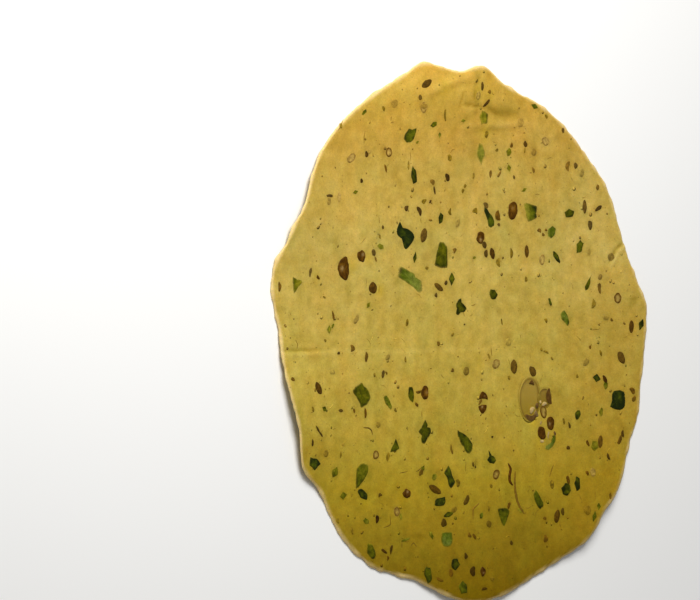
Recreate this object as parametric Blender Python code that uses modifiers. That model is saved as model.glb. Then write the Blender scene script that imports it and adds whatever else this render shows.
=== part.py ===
"""Green chilli papadum: one thin, nearly round sheet of spiced dough, rolled out by hand and dried.

Chilli flakes, crushed peppercorns and cumin seeds are rolled into the sheet and stand a little proud of
its upper face. The middle lies flat, the rim lifts in a few gentle waves, and one air bubble has burst.
Lengths below are in millimetres unless a name says otherwise; the finished mesh is in metres, +Z up,
with the underside of the flat middle at z = 0.
"""

import math
import random

import bmesh
import bpy
from mathutils import Matrix, Vector

MM = 0.001

# Sheet
THICKNESS = 0.7
FLAT_RADIUS = 42.0
CELLS_ACROSS = 40
CURL_POWER = 1.8

# The hand-rolled rim: angle from +X in degrees, reach from the middle
RIM = (
    (-180, 84.7), (-172, 84.7), (-165, 84.2), (-157, 84.4), (-150, 87.7), (-147, 87.3),
    (-141, 84.9), (-135, 86.5), (-128, 88.4), (-118, 88.9), (-110, 86.7), (-105, 85.9),
    (-98, 87.8), (-88, 91.1), (-80, 90.5), (-68, 88.8), (-60, 88.9), (-50, 90.3),
    (-43, 88.5), (-37, 89.2), (-25, 86.8), (-20, 87.5), (-13, 85.9), (-5, 85.4),
    (0, 85.4), (6, 85.8), (10, 83.6), (15, 82.1), (22, 81.3), (37, 83.5),
    (44, 83.0), (60, 84.4), (72, 84.6), (78, 85.7), (84, 89.3), (92, 87.4),
    (97, 89.4), (102, 92.1), (108, 90.2), (114, 89.4), (133, 89.4), (138, 89.3),
    (143, 88.3), (150, 86.1), (155, 86.8), (160, 87.5), (166, 89.8), (171, 89.1),
    (176, 86.6),
)

# Where the rim lifts off the table: angle in degrees, height, half-width in degrees
LIFTS = (
    (-160, 2.8, 26), (-88, 1.6, 24), (-45, 2.4, 24), (8, 1.4, 20), (92, 2.0, 22), (150, 2.2, 20),
)

# Burst bubble, two lobes: x, y, width, height
BUBBLE_LOBES = ((31.4, -22.5, 9.2, 14.2), (38.5, -22.3, 5.8, 6.4))
BUBBLE_DEPTH = 0.35
BUBBLE_FLARE = 0.08
BUBBLE_SIDES = 16

# Large chilli flakes: x, y, length, width, turn of the length from +X in degrees, corners
LARGE_FLAKES = (
    (-26.8, 32.0, 9.2, 6.6, 55, 5), (-10.2, 25.7, 8.8, 6.0, 84, 4), (-24.5, 17.7, 12.5, 4.4, 150, 6),
    (-47.1, -21.0, 8.8, 7.2, 75, 4), (-46.6, -47.7, 8.4, 5.2, 67, 5), (-46.2, -54.2, 5.6, 3.0, 145, 5),
    (72.5, -23.0, 7.4, 6.4, 80, 6), (31.9, 40.3, 6.4, 5.4, 35, 4), (-24.5, 65.7, 5.8, 3.8, 48, 4),
    (-22.6, 52.3, 6.8, 2.8, 92, 5), (9.2, 71.7, 5.2, 4.4, 80, 5), (8.3, 59.7, 6.8, 3.6, 90, 5),
    (12.5, 38.7, 9.0, 3.7, 117, 6), (-18.0, -33.0, 8.2, 5.4, 86, 4), (1.4, -36.3, 9.8, 4.4, 133, 5),
    (-6.0, -48.7, 7.6, 3.7, 119, 5), (-69.7, -43.7, 5.2, 4.3, 20, 5), (18.9, -62.0, 6.2, 5.0, 95, 4),
    (-1.4, 8.7, 5.2, 4.6, 70, 6), (47.6, -53.0, 4.8, 4.3, 15, 6), (52.6, -51.0, 4.8, 2.8, 90, 5),
    (35.1, -56.0, 7.0, 3.2, 114, 5), (-76.6, 16.0, 5.2, 3.7, 88, 5), (-7.8, -69.0, 5.6, 4.4, 90, 4),
    (-16.6, -81.0, 6.0, 3.2, 95, 5), (-0.9, -85.6, 5.0, 4.0, 80, 5), (-4.2, -77.6, 4.4, 3.8, 40, 5),
    (-42.5, -73.0, 6.2, 3.6, 113, 5), (41.6, 33.7, 4.4, 3.8, 50, 5), (48.5, 4.7, 5.4, 3.6, 116, 5),
    (49.9, 40.0, 5.2, 3.0, 5, 5), (43.9, 25.0, 4.8, 2.0, 130, 4), (58.2, 16.3, 4.8, 2.8, 94, 5),
    (41.1, -37.3, 5.2, 4.6, 60, 5), (-5.1, 17.7, 4.8, 2.8, 88, 4), (-31.4, -38.0, 4.0, 3.2, 80, 4),
    (61.4, -38.3, 4.2, 3.4, 30, 5), (-59.6, -46.7, 3.8, 3.2, 60, 4), (13.4, -42.3, 3.8, 3.6, 0, 5),
    (-10.6, -56.7, 4.6, 2.8, 12, 5),
)

# Crushed peppercorns and seeds: x, y, length, width, turn of the length from +X in degrees
PEPPER_PIECES = (
    (-55.2, 21.2, 7.6, 4.8, 97), (-47.1, 25.3, 3.9, 3.5, 60),
    (-17.5, -20.3, 4.2, 3.4, 100), (9.7, -21.6, 3.8, 3.4, 70), (9.4, -25.6, 3.6, 3.2, 20),
    (36.9, -34.0, 4.4, 3.4, 150), (41.1, -30.7, 4.6, 3.2, 90), (-25.9, -54.0, 3.6, 3.4, 30),
    (72.0, 11.3, 3.8, 3.4, 80), (-35.1, -73.7, 4.4, 3.8, 60), (15.7, -48.0, 3.6, 3.2, 0),
    (23.5, 40.7, 6.4, 4.0, 82), (8.4, 31.6, 4.0, 3.4, 80), (8.6, -80.3, 3.2, 2.8, 80),
)
SEEDS = (
    (-41.6, 14.7, 4.0, 3.0, 85), (-18.0, 32.3, 5.0, 2.4, 70), (-17.5, 83.0, 4.6, 2.0, 30),
    (24.0, -11.7, 4.8, 2.6, 92), (32.8, -13.3, 4.2, 2.2, 130), (74.3, -8.7, 4.8, 2.4, 127),
    (-67.9, -18.7, 4.6, 2.2, 120), (78.5, 1.7, 4.4, 1.8, 92), (-12.9, -52.7, 6.0, 2.0, 155),
    (57.2, 42.0, 4.6, 1.6, 92), (13.9, 26.3, 4.0, 1.8, 105), (30.0, 27.0, 4.4, 1.6, 92),
    (64.2, -37.0, 4.2, 1.8, 80), (-11.1, 15.0, 4.6, 1.6, 152), (43.4, -62.0, 4.6, 2.0, 78),
)

# Smaller ones, spread by a seeded rule
SCATTER_SEED = 41
SMALL_FLAKES = 16
SMALL_FLAKE_LENGTH = 3.6
SMALL_SEEDS = 24
SMALL_SEED_LENGTH = 3.4
RIM_MARGIN = 5.0
CLEARANCE = 2.0
TRIES = 200

# How far they stand out of the upper face, and how far they reach down into the sheet
FLAKE_RISE = 0.18
FLAKE_SINK = 0.3
FLAKE_TAPER = 0.12
FLAKE_UNEVENNESS = 0.12
PEPPER_HEIGHT = 0.8
SEED_HEIGHT = 0.9
PIECE_SINK = 0.12


def smooth_rim(angle):
    """Reach of the rim at an angle in degrees: a closed Catmull-Rom curve through RIM."""
    count = len(RIM)
    angle = (angle + 180.0) % 360.0 - 180.0
    start = max(i for i in range(count) if RIM[i][0] <= angle)
    angles = []
    reaches = []
    for step in (-1, 0, 1, 2):
        turns, place = divmod(start + step, count)
        angles.append(RIM[place][0] + 360.0 * turns)
        reaches.append(RIM[place][1])
    span = angles[2] - angles[1]
    slope_in = (reaches[2] - reaches[0]) / (angles[2] - angles[0]) * span
    slope_out = (reaches[3] - reaches[1]) / (angles[3] - angles[1]) * span
    t = (angle - angles[1]) / span
    return (
        (2 * t**3 - 3 * t**2 + 1) * reaches[1]
        + (t**3 - 2 * t**2 + t) * slope_in
        + (3 * t**2 - 2 * t**3) * reaches[2]
        + (t**3 - t**2) * slope_out
    )


def underside_height(x, y):
    """Height of the underside: zero over the flat middle, rising towards each place where the rim lifts."""
    angle = math.degrees(math.atan2(y, x))
    outward = (math.hypot(x, y) - FLAT_RADIUS) / (smooth_rim(angle) - FLAT_RADIUS)
    if outward <= 0.0:
        return 0.0
    height = 0.0
    for middle, rise, half_width in LIFTS:
        away = abs((angle - middle + 180.0) % 360.0 - 180.0) / half_width
        if away < 1.0:
            height += rise * math.cos(away * math.pi / 2.0) ** 2
    return height * outward**CURL_POWER


def square_to_disc(x, y):
    """Carries a point of the square from -1 to 1 to the unit disc: (angle in degrees, share of the reach)."""
    if x == 0.0 and y == 0.0:
        return 0.0, 0.0
    if abs(x) >= abs(y):
        share, angle = abs(x), 45.0 * y / x
        return (angle if x > 0 else angle + 180.0), share
    share, angle = abs(y), 90.0 - 45.0 * x / y
    return (angle if y > 0 else angle + 180.0), share


def new_object(name, bm, collection):
    """Makes an object of a bmesh whose lengths are in millimetres."""
    bmesh.ops.transform(bm, matrix=Matrix.Scale(MM, 4), verts=bm.verts)
    mesh = bpy.data.meshes.new(name)
    bm.to_mesh(mesh)
    bm.free()
    obj = bpy.data.objects.new(name, mesh)
    collection.objects.link(obj)
    return obj


def make_sheet(collection):
    """The dough: a grid carried to the rim's outline, bent into its waves and thickened upwards."""
    bm = bmesh.new()
    bmesh.ops.create_grid(bm, x_segments=CELLS_ACROSS, y_segments=CELLS_ACROSS, size=1.0)
    for vert in bm.verts:
        angle, share = square_to_disc(vert.co.x, vert.co.y)
        reach = share * smooth_rim(angle)
        x = reach * math.cos(math.radians(angle))
        y = reach * math.sin(math.radians(angle))
        vert.co = Vector((x, y, underside_height(x, y)))
    sheet = new_object("papadum", bm, collection)
    thicken = sheet.modifiers.new("Thickness", "SOLIDIFY")
    thicken.thickness = THICKNESS * MM
    thicken.offset = 1.0
    return sheet


def place_on_sheet(bm, x, y, turn, low, high):
    """Turns a unit piece, moves it to (x, y) and lays it on the upper face, from -low to +high."""
    spin = Matrix.Rotation(math.radians(turn), 4, "Z")
    for vert in bm.verts:
        flat = spin @ Vector((vert.co.x, vert.co.y, 0.0))
        top = underside_height(x + flat.x, y + flat.y) + THICKNESS
        offset = high * vert.co.z if vert.co.z > 0 else low * vert.co.z
        vert.co = Vector((x + flat.x, y + flat.y, top + offset))


def make_flake(name, spot, corners, rng, collection):
    """A chilli flake: a thin plate with uneven corners, a little narrower on top."""
    x, y, length, width, turn = spot
    bm = bmesh.new()
    bmesh.ops.create_cone(
        bm, cap_ends=True, cap_tris=True, segments=corners, radius1=0.5,
        radius2=0.5 * (1.0 - FLAKE_TAPER), depth=2.0
    )
    reaches = [1.0 + rng.uniform(-FLAKE_UNEVENNESS, FLAKE_UNEVENNESS) for _ in range(corners)]
    for vert in bm.verts:
        turns = math.atan2(vert.co.y, vert.co.x) / math.tau
        place = math.floor(turns * corners + 0.25) % corners
        vert.co.x *= length * reaches[place]
        vert.co.y *= width * reaches[place]
    place_on_sheet(bm, x, y, turn, FLAKE_SINK, FLAKE_RISE)
    return new_object(name, bm, collection)


def make_round_piece(name, spot, height, collection):
    """A seed or a crushed peppercorn: a flattened ball, mostly sunk in the sheet."""
    x, y, length, width, turn = spot
    bm = bmesh.new()
    bmesh.ops.create_uvsphere(bm, u_segments=6, v_segments=4, radius=1.0)
    for vert in bm.verts:
        vert.co.x *= length / 2.0
        vert.co.y *= width / 2.0
    place_on_sheet(bm, x, y, turn, height / 2.0, height / 2.0)
    bmesh.ops.translate(bm, verts=bm.verts, vec=Vector((0.0, 0.0, -PIECE_SINK)))
    return new_object(name, bm, collection)


def spread(count, longest, taken, rng):
    """Free spots on the sheet for small pieces: (x, y, length, width, turn), clear of the ones taken."""
    spots = []
    for _ in range(TRIES * count):
        if len(spots) == count:
            break
        angle = rng.uniform(-180.0, 180.0)
        reach = math.sqrt(rng.random()) * (smooth_rim(angle) - RIM_MARGIN)
        x = reach * math.cos(math.radians(angle))
        y = reach * math.sin(math.radians(angle))
        length = longest * rng.uniform(0.65, 1.0)
        width = length * rng.uniform(0.45, 0.8)
        turn = rng.uniform(0.0, 180.0)
        if all(math.hypot(x - t[0], y - t[1]) > (length + t[2]) / 2.0 + CLEARANCE for t in taken):
            spots.append((x, y, length, width, turn))
            taken.append(spots[-1])
    return spots


def make_pieces(collection):
    """Every flake, peppercorn piece and seed, each an object of its own until the union."""
    rng = random.Random(SCATTER_SEED)
    bubble = [(x, y, height, width, 90.0) for x, y, width, height in BUBBLE_LOBES]
    taken = [spot[:5] for spot in LARGE_FLAKES + PEPPER_PIECES + SEEDS] + bubble
    small_flakes = spread(SMALL_FLAKES, SMALL_FLAKE_LENGTH, taken, rng)
    small_seeds = spread(SMALL_SEEDS, SMALL_SEED_LENGTH, taken, rng)
    for i, flake in enumerate(LARGE_FLAKES):
        make_flake(f"large_flake_{i}", flake[:5], flake[5], rng, collection)
    for i, spot in enumerate(small_flakes):
        make_flake(f"small_flake_{i}", spot, 4 + i % 2, rng, collection)
    for i, spot in enumerate(PEPPER_PIECES):
        make_round_piece(f"pepper_{i}", spot, PEPPER_HEIGHT, collection)
    for i, spot in enumerate(SEEDS + tuple(small_seeds)):
        make_round_piece(f"seed_{i}", spot, SEED_HEIGHT, collection)


def make_bubble_cutters(collection):
    """Shallow plugs that cut the burst bubble's two lobes into the upper face."""
    for i, (x, y, width, height) in enumerate(BUBBLE_LOBES):
        bm = bmesh.new()
        bmesh.ops.create_cone(
            bm, cap_ends=True, segments=BUBBLE_SIDES, radius1=0.5 * (1.0 - BUBBLE_FLARE),
            radius2=0.5 * (1.0 + BUBBLE_FLARE), depth=2.0 * BUBBLE_DEPTH
        )
        bmesh.ops.scale(bm, verts=bm.verts, vec=Vector((width, height, 1.0)))
        bmesh.ops.translate(bm, verts=bm.verts, vec=Vector((x, y, THICKNESS)))
        cutter = new_object(f"bubble_cutter_{i}", bm, collection)
        cutter.hide_render = True
        cutter.display_type = "WIRE"


def add_boolean(obj, name, operation, collection):
    """A Boolean modifier that takes a whole collection."""
    boolean = obj.modifiers.new(name, "BOOLEAN")
    boolean.operation = operation
    boolean.operand_type = "COLLECTION"
    boolean.collection = collection
    boolean.solver = "EXACT"


def apply_modifiers(obj):
    """Applies the whole stack in order."""
    bpy.context.view_layer.objects.active = obj
    for name in [modifier.name for modifier in obj.modifiers]:
        bpy.ops.object.modifier_apply(modifier=name)


def centre_on_origin(obj):
    """Moves the mesh so that its box is centred on the vertical axis through the origin."""
    xs = [vert.co.x for vert in obj.data.vertices]
    ys = [vert.co.y for vert in obj.data.vertices]
    middle = Vector(((min(xs) + max(xs)) / 2.0, (min(ys) + max(ys)) / 2.0, 0.0))
    obj.data.transform(Matrix.Translation(-middle))


def dough_material():
    """Dried lentil dough, olive yellow and faintly glossy."""
    material = bpy.data.materials.new("papadum_dough")
    material.use_nodes = True
    shader = material.node_tree.nodes["Principled BSDF"]
    shader.inputs["Base Color"].default_value = (0.50, 0.35, 0.07, 1.0)
    shader.inputs["Roughness"].default_value = 0.55
    shader.inputs["Metallic"].default_value = 0.0
    return material


def main():
    for obj in list(bpy.data.objects):
        bpy.data.objects.remove(obj)
    scene_collection = bpy.context.scene.collection
    parts = bpy.data.collections.new("green_chilli_papadum")
    cutters = bpy.data.collections.new("cutters")
    pieces = bpy.data.collections.new("flakes_and_seeds")
    for collection in (parts, cutters, pieces):
        scene_collection.children.link(collection)

    papadum = make_sheet(parts)
    make_bubble_cutters(cutters)
    make_pieces(pieces)
    add_boolean(papadum, "Burst bubble", "DIFFERENCE", cutters)
    add_boolean(papadum, "Flakes and seeds", "UNION", pieces)
    apply_modifiers(papadum)
    for obj in list(pieces.objects):
        bpy.data.objects.remove(obj)
    bpy.data.collections.remove(pieces)

    centre_on_origin(papadum)
    papadum.data.materials.clear()
    papadum.data.materials.append(dough_material())
    papadum.data.shade_smooth()
    papadum.data.set_sharp_from_angle(angle=math.radians(30.0))


main()
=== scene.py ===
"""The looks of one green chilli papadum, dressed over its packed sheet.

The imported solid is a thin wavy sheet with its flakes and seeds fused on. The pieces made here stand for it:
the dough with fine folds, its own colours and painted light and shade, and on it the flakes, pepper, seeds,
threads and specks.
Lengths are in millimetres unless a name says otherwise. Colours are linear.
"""

import math
import random

import bmesh
import bpy
import numpy as np
from mathutils import Matrix, Vector, noise


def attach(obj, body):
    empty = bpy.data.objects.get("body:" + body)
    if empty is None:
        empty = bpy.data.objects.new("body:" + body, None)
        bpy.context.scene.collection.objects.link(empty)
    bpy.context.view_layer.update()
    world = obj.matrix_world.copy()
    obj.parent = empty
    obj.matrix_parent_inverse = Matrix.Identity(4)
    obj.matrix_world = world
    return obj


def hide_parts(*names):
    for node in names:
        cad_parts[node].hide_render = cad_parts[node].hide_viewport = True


MM = 0.001

# Sheet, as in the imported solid
THICKNESS = 0.7
FLAT_RADIUS = 42.0
CURL_POWER = 1.8

# The hand-rolled rim: angle from +X in degrees, reach from the middle
RIM = (
    (-180, 84.7), (-172, 84.7), (-165, 84.2), (-157, 84.4), (-150, 87.7), (-147, 87.3), (-141, 84.9),
    (-135, 86.5), (-128, 88.4), (-118, 88.9), (-110, 86.7), (-105, 85.9), (-98, 87.8), (-88, 91.1),
    (-80, 90.5), (-68, 88.8), (-60, 88.9), (-50, 90.3), (-43, 88.5), (-37, 89.2), (-25, 86.8), (-20, 87.5),
    (-13, 85.9), (-5, 85.4), (0, 85.4), (6, 85.8), (10, 83.6), (15, 82.1), (22, 81.3), (37, 83.5), (44, 83),
    (60, 84.4), (72, 84.6), (78, 85.7), (84, 89.3), (92, 87.4), (97, 89.4), (102, 92.1), (108, 90.2),
    (114, 89.4), (133, 89.4), (138, 89.3), (143, 88.3), (150, 86.1), (155, 86.8), (160, 87.5), (166, 89.8),
    (171, 89.1), (176, 86.6),
)

# Where the rim lifts off the table: angle in degrees, height, half-width in degrees
LIFTS = (
    (-160, 2.8, 26), (-88, 1.6, 24), (-45, 2.4, 24), (8, 1.4, 20), (92, 2.0, 22), (150, 2.2, 20),
)

# Burst bubble, two lobes: x, y, width, height
BUBBLE_LOBES = ((31.4, -22.5, 9.2, 14.2), (38.5, -22.3, 5.8, 6.4))
BUBBLE_RECESS = 0.5

# Large chilli flakes: x, y, length, width, turn in degrees, corners, and how far the dough veils them
LARGE_FLAKES = (
    (-26.8, 32, 9.2, 6.6, 55, 5, 0), (-10.2, 25.7, 8.8, 6, 84, 4, 0.35),
    (-24.5, 17.7, 12.5, 4.4, 150, 6, 0.62), (-47.1, -21, 8.8, 7.2, 75, 4, 0.35),
    (-46.6, -47.7, 8.4, 5.2, 67, 5, 0.45), (-46.2, -54.2, 5.6, 3, 145, 5, 0.08),
    (72.5, -23, 7.4, 6.4, 80, 6, 0.05), (31.9, 40.3, 6.4, 5.4, 35, 4, 0.5),
    (-24.5, 65.7, 5.8, 3.8, 48, 4, 0.35), (-22.6, 52.3, 6.8, 2.8, 92, 5, 0.1),
    (9.2, 71.7, 5.2, 4.4, 80, 5, 0.7), (8.3, 59.7, 6.8, 3.6, 90, 5, 0.85),
    (12.5, 38.7, 9, 3.7, 117, 6, 0.15), (-18, -33, 8.2, 5.4, 86, 4, 0.25),
    (1.4, -36.3, 9.8, 4.4, 133, 5, 0.3), (-6, -48.7, 7.6, 3.7, 119, 5, 0.2),
    (-69.7, -43.7, 5.2, 4.3, 20, 5, 0.12), (18.9, -62, 6.2, 5, 95, 4, 0.4),
    (-1.4, 8.7, 5.2, 4.6, 70, 6, 0.15), (47.6, -53, 4.8, 4.3, 15, 6, 0.1),
    (52.6, -51, 4.8, 2.8, 90, 5, 0.08), (35.1, -56, 7, 3.2, 114, 5, 0.35),
    (-76.6, 16, 5.2, 3.7, 88, 5, 0.65), (-7.8, -69, 5.6, 4.4, 90, 4, 0.62), (-16.6, -81, 6, 3.2, 95, 5, 0.3),
    (-0.9, -85.6, 5, 4, 80, 5, 0.4), (-4.2, -77.6, 4.4, 3.8, 40, 5, 0.15),
    (-42.5, -73, 6.2, 3.6, 113, 5, 0.4), (41.6, 33.7, 4.4, 3.8, 50, 5, 0.5),
    (48.5, 4.7, 5.4, 3.6, 116, 5, 0.55), (49.9, 40, 5.2, 3, 5, 5, 0.3), (43.9, 25, 4.8, 2, 130, 4, 0.15),
    (58.2, 16.3, 4.8, 2.8, 94, 5, 0.4), (41.1, -37.3, 5.2, 4.6, 60, 5, 0.6),
    (-5.1, 17.7, 4.8, 2.8, 88, 4, 0.3), (-31.4, -38, 4, 3.2, 80, 4, 0.3),
    (61.4, -38.3, 4.2, 3.4, 30, 5, 0.7), (-59.6, -46.7, 3.8, 3.2, 60, 4, 0.55),
    (13.4, -42.3, 3.8, 3.6, 0, 5, 0.1), (-10.6, -56.7, 4.6, 2.8, 12, 5, 0.1),
)

# Outlines of the flakes that stand out, by their place in LARGE_FLAKES: the way to the darkest side in
# degrees, how much darker it is, how bluish the flake is, and its corners round its middle
OUTLINES = {
    0: (40, 0.25, 0.8, ((-2.2, 4.7), (-0.9, 2.7), (0.9, 2.5), (3.7, 0.9), (4.2, -0.8), (0.7, -4.3),
        (-0.5, -3.4), (-1.4, -0.8), (-3.2, 0.3), (-3.7, 1.8))),
    1: (-70, 0.15, 0, ((-0.5, 4.2), (1.9, 3.8), (3.1, 2.7), (3.1, -4), (1.5, -4.3), (-2.8, -3.2), (-2.2, -1),
        (-1.3, 2))),
    2: (165, 0.35, 0.9, ((-4.2, 4.2), (-2.4, 3.6), (2, 1.8), (2.6, 0.6), (5.4, -0.8), (5.6, -2.7), (5, -4.2),
        (3.4, -4.1), (1.6, -2.7), (-2.1, -0.8), (-5.4, 0.8), (-5.1, 2.4))),
    3: (-150, 0.15, 0, ((0.3, 4.1), (1.4, 2.8), (3, 1.8), (4.3, -0.8), (3, -2.8), (0, -4.2), (-0.6, -3),
        (-2.5, -0.5), (-4.1, 1.2), (-2.5, 2.8))),
    4: (-120, 0.25, 0.1, ((-0.3, 3.8), (1.5, 3.7), (2.9, 2.8), (2.8, 1.3), (1.5, -0.8), (-0.1, -2.5),
        (-1.7, -4.1), (-2.8, -4.4), (-2.9, -2.2), (-2.6, 2))),
    6: (-60, 0.1, 0.6, ((-2.3, 2), (-1.2, 3), (1.4, 3.2), (2.8, 2.8), (3.5, 1.3), (3.7, -0.7), (3.5, -2.2),
        (1.8, -3.2), (-1.8, -2.8), (-3.2, -2.2), (-2.3, 0))),
    7: (10, 0.75, 0.3, ((-3.2, 2.4), (-1.6, 2.9), (2.8, 1.9), (2.5, -0.6), (2.8, -1.9), (0.9, -2.7),
        (-1.2, -3.2), (-2.1, -1.7), (-2.5, 0.3))),
    8: (150, 0.25, 0.3, ((-0.6, 2.2), (1, 1.9), (2.9, 2.4), (2.5, 0.6), (1.6, -1.4), (0.3, -2.3),
        (-1.5, -2.4), (-2.8, -1.2), (-2.3, 0.4))),
    11: (-90, 0.1, 0.4, ((-0.9, 3.6), (0.6, 3.2), (1.8, 1), (1.9, -0.8), (0.9, -2), (0.4, -3.8),
        (-0.6, -2.4), (-1.9, -0.4), (-1.6, 1.8))),
    12: (120, 0.35, 0.6, ((-2.2, 3.1), (-1.1, 2.6), (-0.1, 1.3), (1.5, -0.1), (2.2, -1.4), (2.2, -3.1),
        (0.8, -3.7), (-0.4, -3.1), (-0.8, -1.4), (-1.8, 0.6), (-2.4, 1.8))),
    13: (-40, 0.1, 0, ((0.6, 3.6), (1.8, 1.9), (1.4, 1.1), (2.9, 0.9), (3.3, -0.4), (1.8, -2.4), (0.4, -4.2),
        (-0.9, -4.1), (-1.2, -2.7), (-0.9, -1.6), (-2.4, -0.4), (-1.2, 0.9))),
    14: (135, 0.15, 0.2, ((-3.6, 3.4), (-2.7, 2.8), (-0.2, 1.9), (1.9, 0.3), (3.3, -1.4), (3, -3.1),
        (1.4, -4.4), (0, -3.7), (-0.8, -2.1), (-2.3, -0.7), (-3, 0.9), (-3.7, 2.2))),
    15: (-70, 0.15, 0.4, ((-0.5, 3.9), (0.6, 2.2), (1.1, 0.7), (2.5, -1.5), (1.6, -2.8), (0.6, -3.5),
        (-0.5, -2.5), (-0.9, -0.8), (-1.2, 0), (-2.6, 1.5))),
    16: (60, 0.25, 0.6, ((-2.2, 2), (-0.6, 1.6), (1.1, 1.5), (2.9, -0.2), (1.7, -1), (0.1, -2.3),
        (-1.2, -1.2), (-2.5, -0.6))),
    17: (100, 0.2, 0.1, ((-2.6, 2.4), (-1, 2.8), (1.1, 2.9), (2.9, 1.9), (2, -0.4), (0.4, -3.2), (-1, -1.7),
        (-1.9, 0.3))),
    18: (90, 0.05, 0, ((0.7, 2.5), (0.9, 1.2), (2.3, 0.2), (3.2, -1), (2.3, -2), (0.5, -2.1), (-0.5, -3),
        (-1.6, -2.5), (-1.2, -0.8), (-1.6, 0.5), (-0.5, 2))),
    21: (-70, 0.3, 0.2, ((-1.2, 2.9), (-0.4, 2.2), (0.6, 0.9), (2.2, -1.5), (2.2, -2.6), (0.8, -3.6),
        (-0.4, -2.5), (-1.5, -0.8), (-2.1, 1.2))),
    22: (150, 0.2, 0, ((-2, 2.3), (0.1, 1.5), (2, 1.3), (2.3, 0.4), (0.5, -1), (-1.1, -3), (-1.7, -2.4),
        (-1.9, 0))),
    23: (90, 0.1, 1, ((-2, 1.9), (2.4, 1.9), (2.6, -1.1), (1.2, -2.8), (-1.1, -2.8), (-2.5, -1.1))),
    28: (45, 0.2, 0.8, ((-1.7, 0.7), (0.6, 1.9), (2, 1), (1.5, -1.1), (-0.1, -2.3), (-1.7, -1.6))),
    29: (-60, 0.2, 0.9, ((-2.6, 1.5), (-0.9, 2.5), (0.5, 0.9), (1.4, -1.6), (0.9, -2.8), (-0.5, -1.8),
        (-2.1, -0.6))),
    31: (-60, 0.2, 0.2, ((-1.5, 2), (-0.7, 1.9), (0.9, 0.6), (1.8, -1.4), (1.5, -2), (0.2, -1.3),
        (-1.4, 0.4))),
    32: (-110, 0.1, 0, ((2.1, 2.9), (1.5, 1.9), (1.4, 0.1), (0.4, -1.9), (-0.8, -2.4), (-1.2, -1.2),
        (0.3, 0.9))),
    33: (60, 0.3, 0.9, ((1.4, 3), (2.2, 2.3), (2.1, 0.6), (0.7, -1.3), (-1.2, -2.4), (-2.8, -2),
        (-2.6, -1.2), (-0.6, -0.4), (0.8, 0.8))),
    35: (60, 0.2, 0.1, ((0.4, 2.4), (1.3, 0.6), (2, -0.9), (0.6, -1.7), (-2.1, -2.1), (-1.4, -0.4),
        (-0.7, 0.4))),
    38: (180, 0.6, 0.3, ((-1.2, 2.6), (0.2, 0.8), (1.4, 0.4), (2.2, -0.8), (1.2, -1.9), (-0.8, -1.6),
        (-1.9, -0.6), (-0.9, 0.6))),
    39: (90, 0.1, 0.4, ((-1.4, 0.9), (0.8, 1.2), (2.2, 1.5), (2.5, 0.2), (1.9, -1.2), (-0.9, -1.5),
        (-2.4, -1.2), (-2.1, 0.4))),
}

# Chilli flakes too small for the solid: x, y, length, width, turn in degrees, veil
FINE_FLAKES = (
    (-10.2, 38, 3.3, 2.2, 80, 0.1), (-22.2, 24.7, 3.9, 1.5, 80, 0.15), (14.3, 12.7, 3.6, 2.8, 150, 0.25),
    (-24, -21, 4.4, 2.1, 95, 0.3), (-34.6, -23.3, 4.4, 2, 125, 0.55), (33.7, 75.7, 3.7, 1.5, 160, 0.45),
    (54, -27.7, 3.4, 2.2, 80, 0.3), (62.8, -15.7, 3.2, 2.3, 170, 0.12), (-18.4, -45.6, 2.4, 1.6, 60, 0.3),
    (21.7, 60.3, 3, 2, 75, 0.6), (59.6, -62, 3, 1.6, 75, 0.45), (54.9, 28.9, 4.6, 3.2, 70, 0.4),
    (-11.1, 66, 2, 1.4, 90, 0.6), (-6.9, -61.2, 4.1, 1.5, 20, 0.2), (83, 2.4, 3, 2, 70, 0.15),
    (-60.2, 2, 1.4, 0.9, 60, 0.6), (41, 9.8, 3, 1.1, 118, 0.25), (-21.2, 63.4, 1.4, 0.8, 30, 0.6),
    (-45.8, 73.2, 2.6, 1.2, 40, 0.5), (61.8, -58.6, 2.4, 1.4, 80, 0.5), (-13.2, -48.6, 2.4, 1.8, 40, 0.75),
    (8.6, -61.6, 2.2, 1.6, 60, 0.5), (-26.3, -69.4, 3.8, 0.8, 15, 0.6), (5.5, 24.8, 1.4, 0.9, 20, 0.6),
)

# Crushed peppercorns and seeds: x, y, length, width, turn of the length from +X in degrees. Pepper also
# has how far it is broken open to its core, and how far its ends bend down. The solid has three more that
# are dressed as flat seeds or as bits, so they have no core
PEPPER_PIECES = (
    (-55.2, 21.2, 7.6, 4.8, 97, 0.5, 0.7), (-47.1, 25.3, 3.9, 3.5, 60, 0.35, 0),
    (-17.5, -20.3, 4.2, 3.4, 100, 0.9, 0), (9.7, -21.6, 3.8, 2.2, 0, 0.1, 1.3),
    (9.4, -25.6, 3.6, 2.7, 0, 0.5, -0.9), (36.9, -34, 4.4, 3.4, 110, 0, 0),
    (41.1, -30.7, 4.6, 3.2, 80, 0.3, 0.3), (-25.9, -54, 3.6, 2.8, 0, 0.3, 0),
    (72, 11.3, 3.8, 3.4, 80, None, 0), (-35.1, -73.7, 4.4, 3.8, 60, None, 0),
    (15.7, -48, 3.6, 3.2, 0, None, 0), (23.5, 40.7, 6.4, 3.9, 86, 0.9, 0), (8.4, 31.6, 4, 3.4, 80, 0.35, 0),
    (8.6, -80.3, 3.2, 2.2, 70, 0.1, 0),
)
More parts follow.
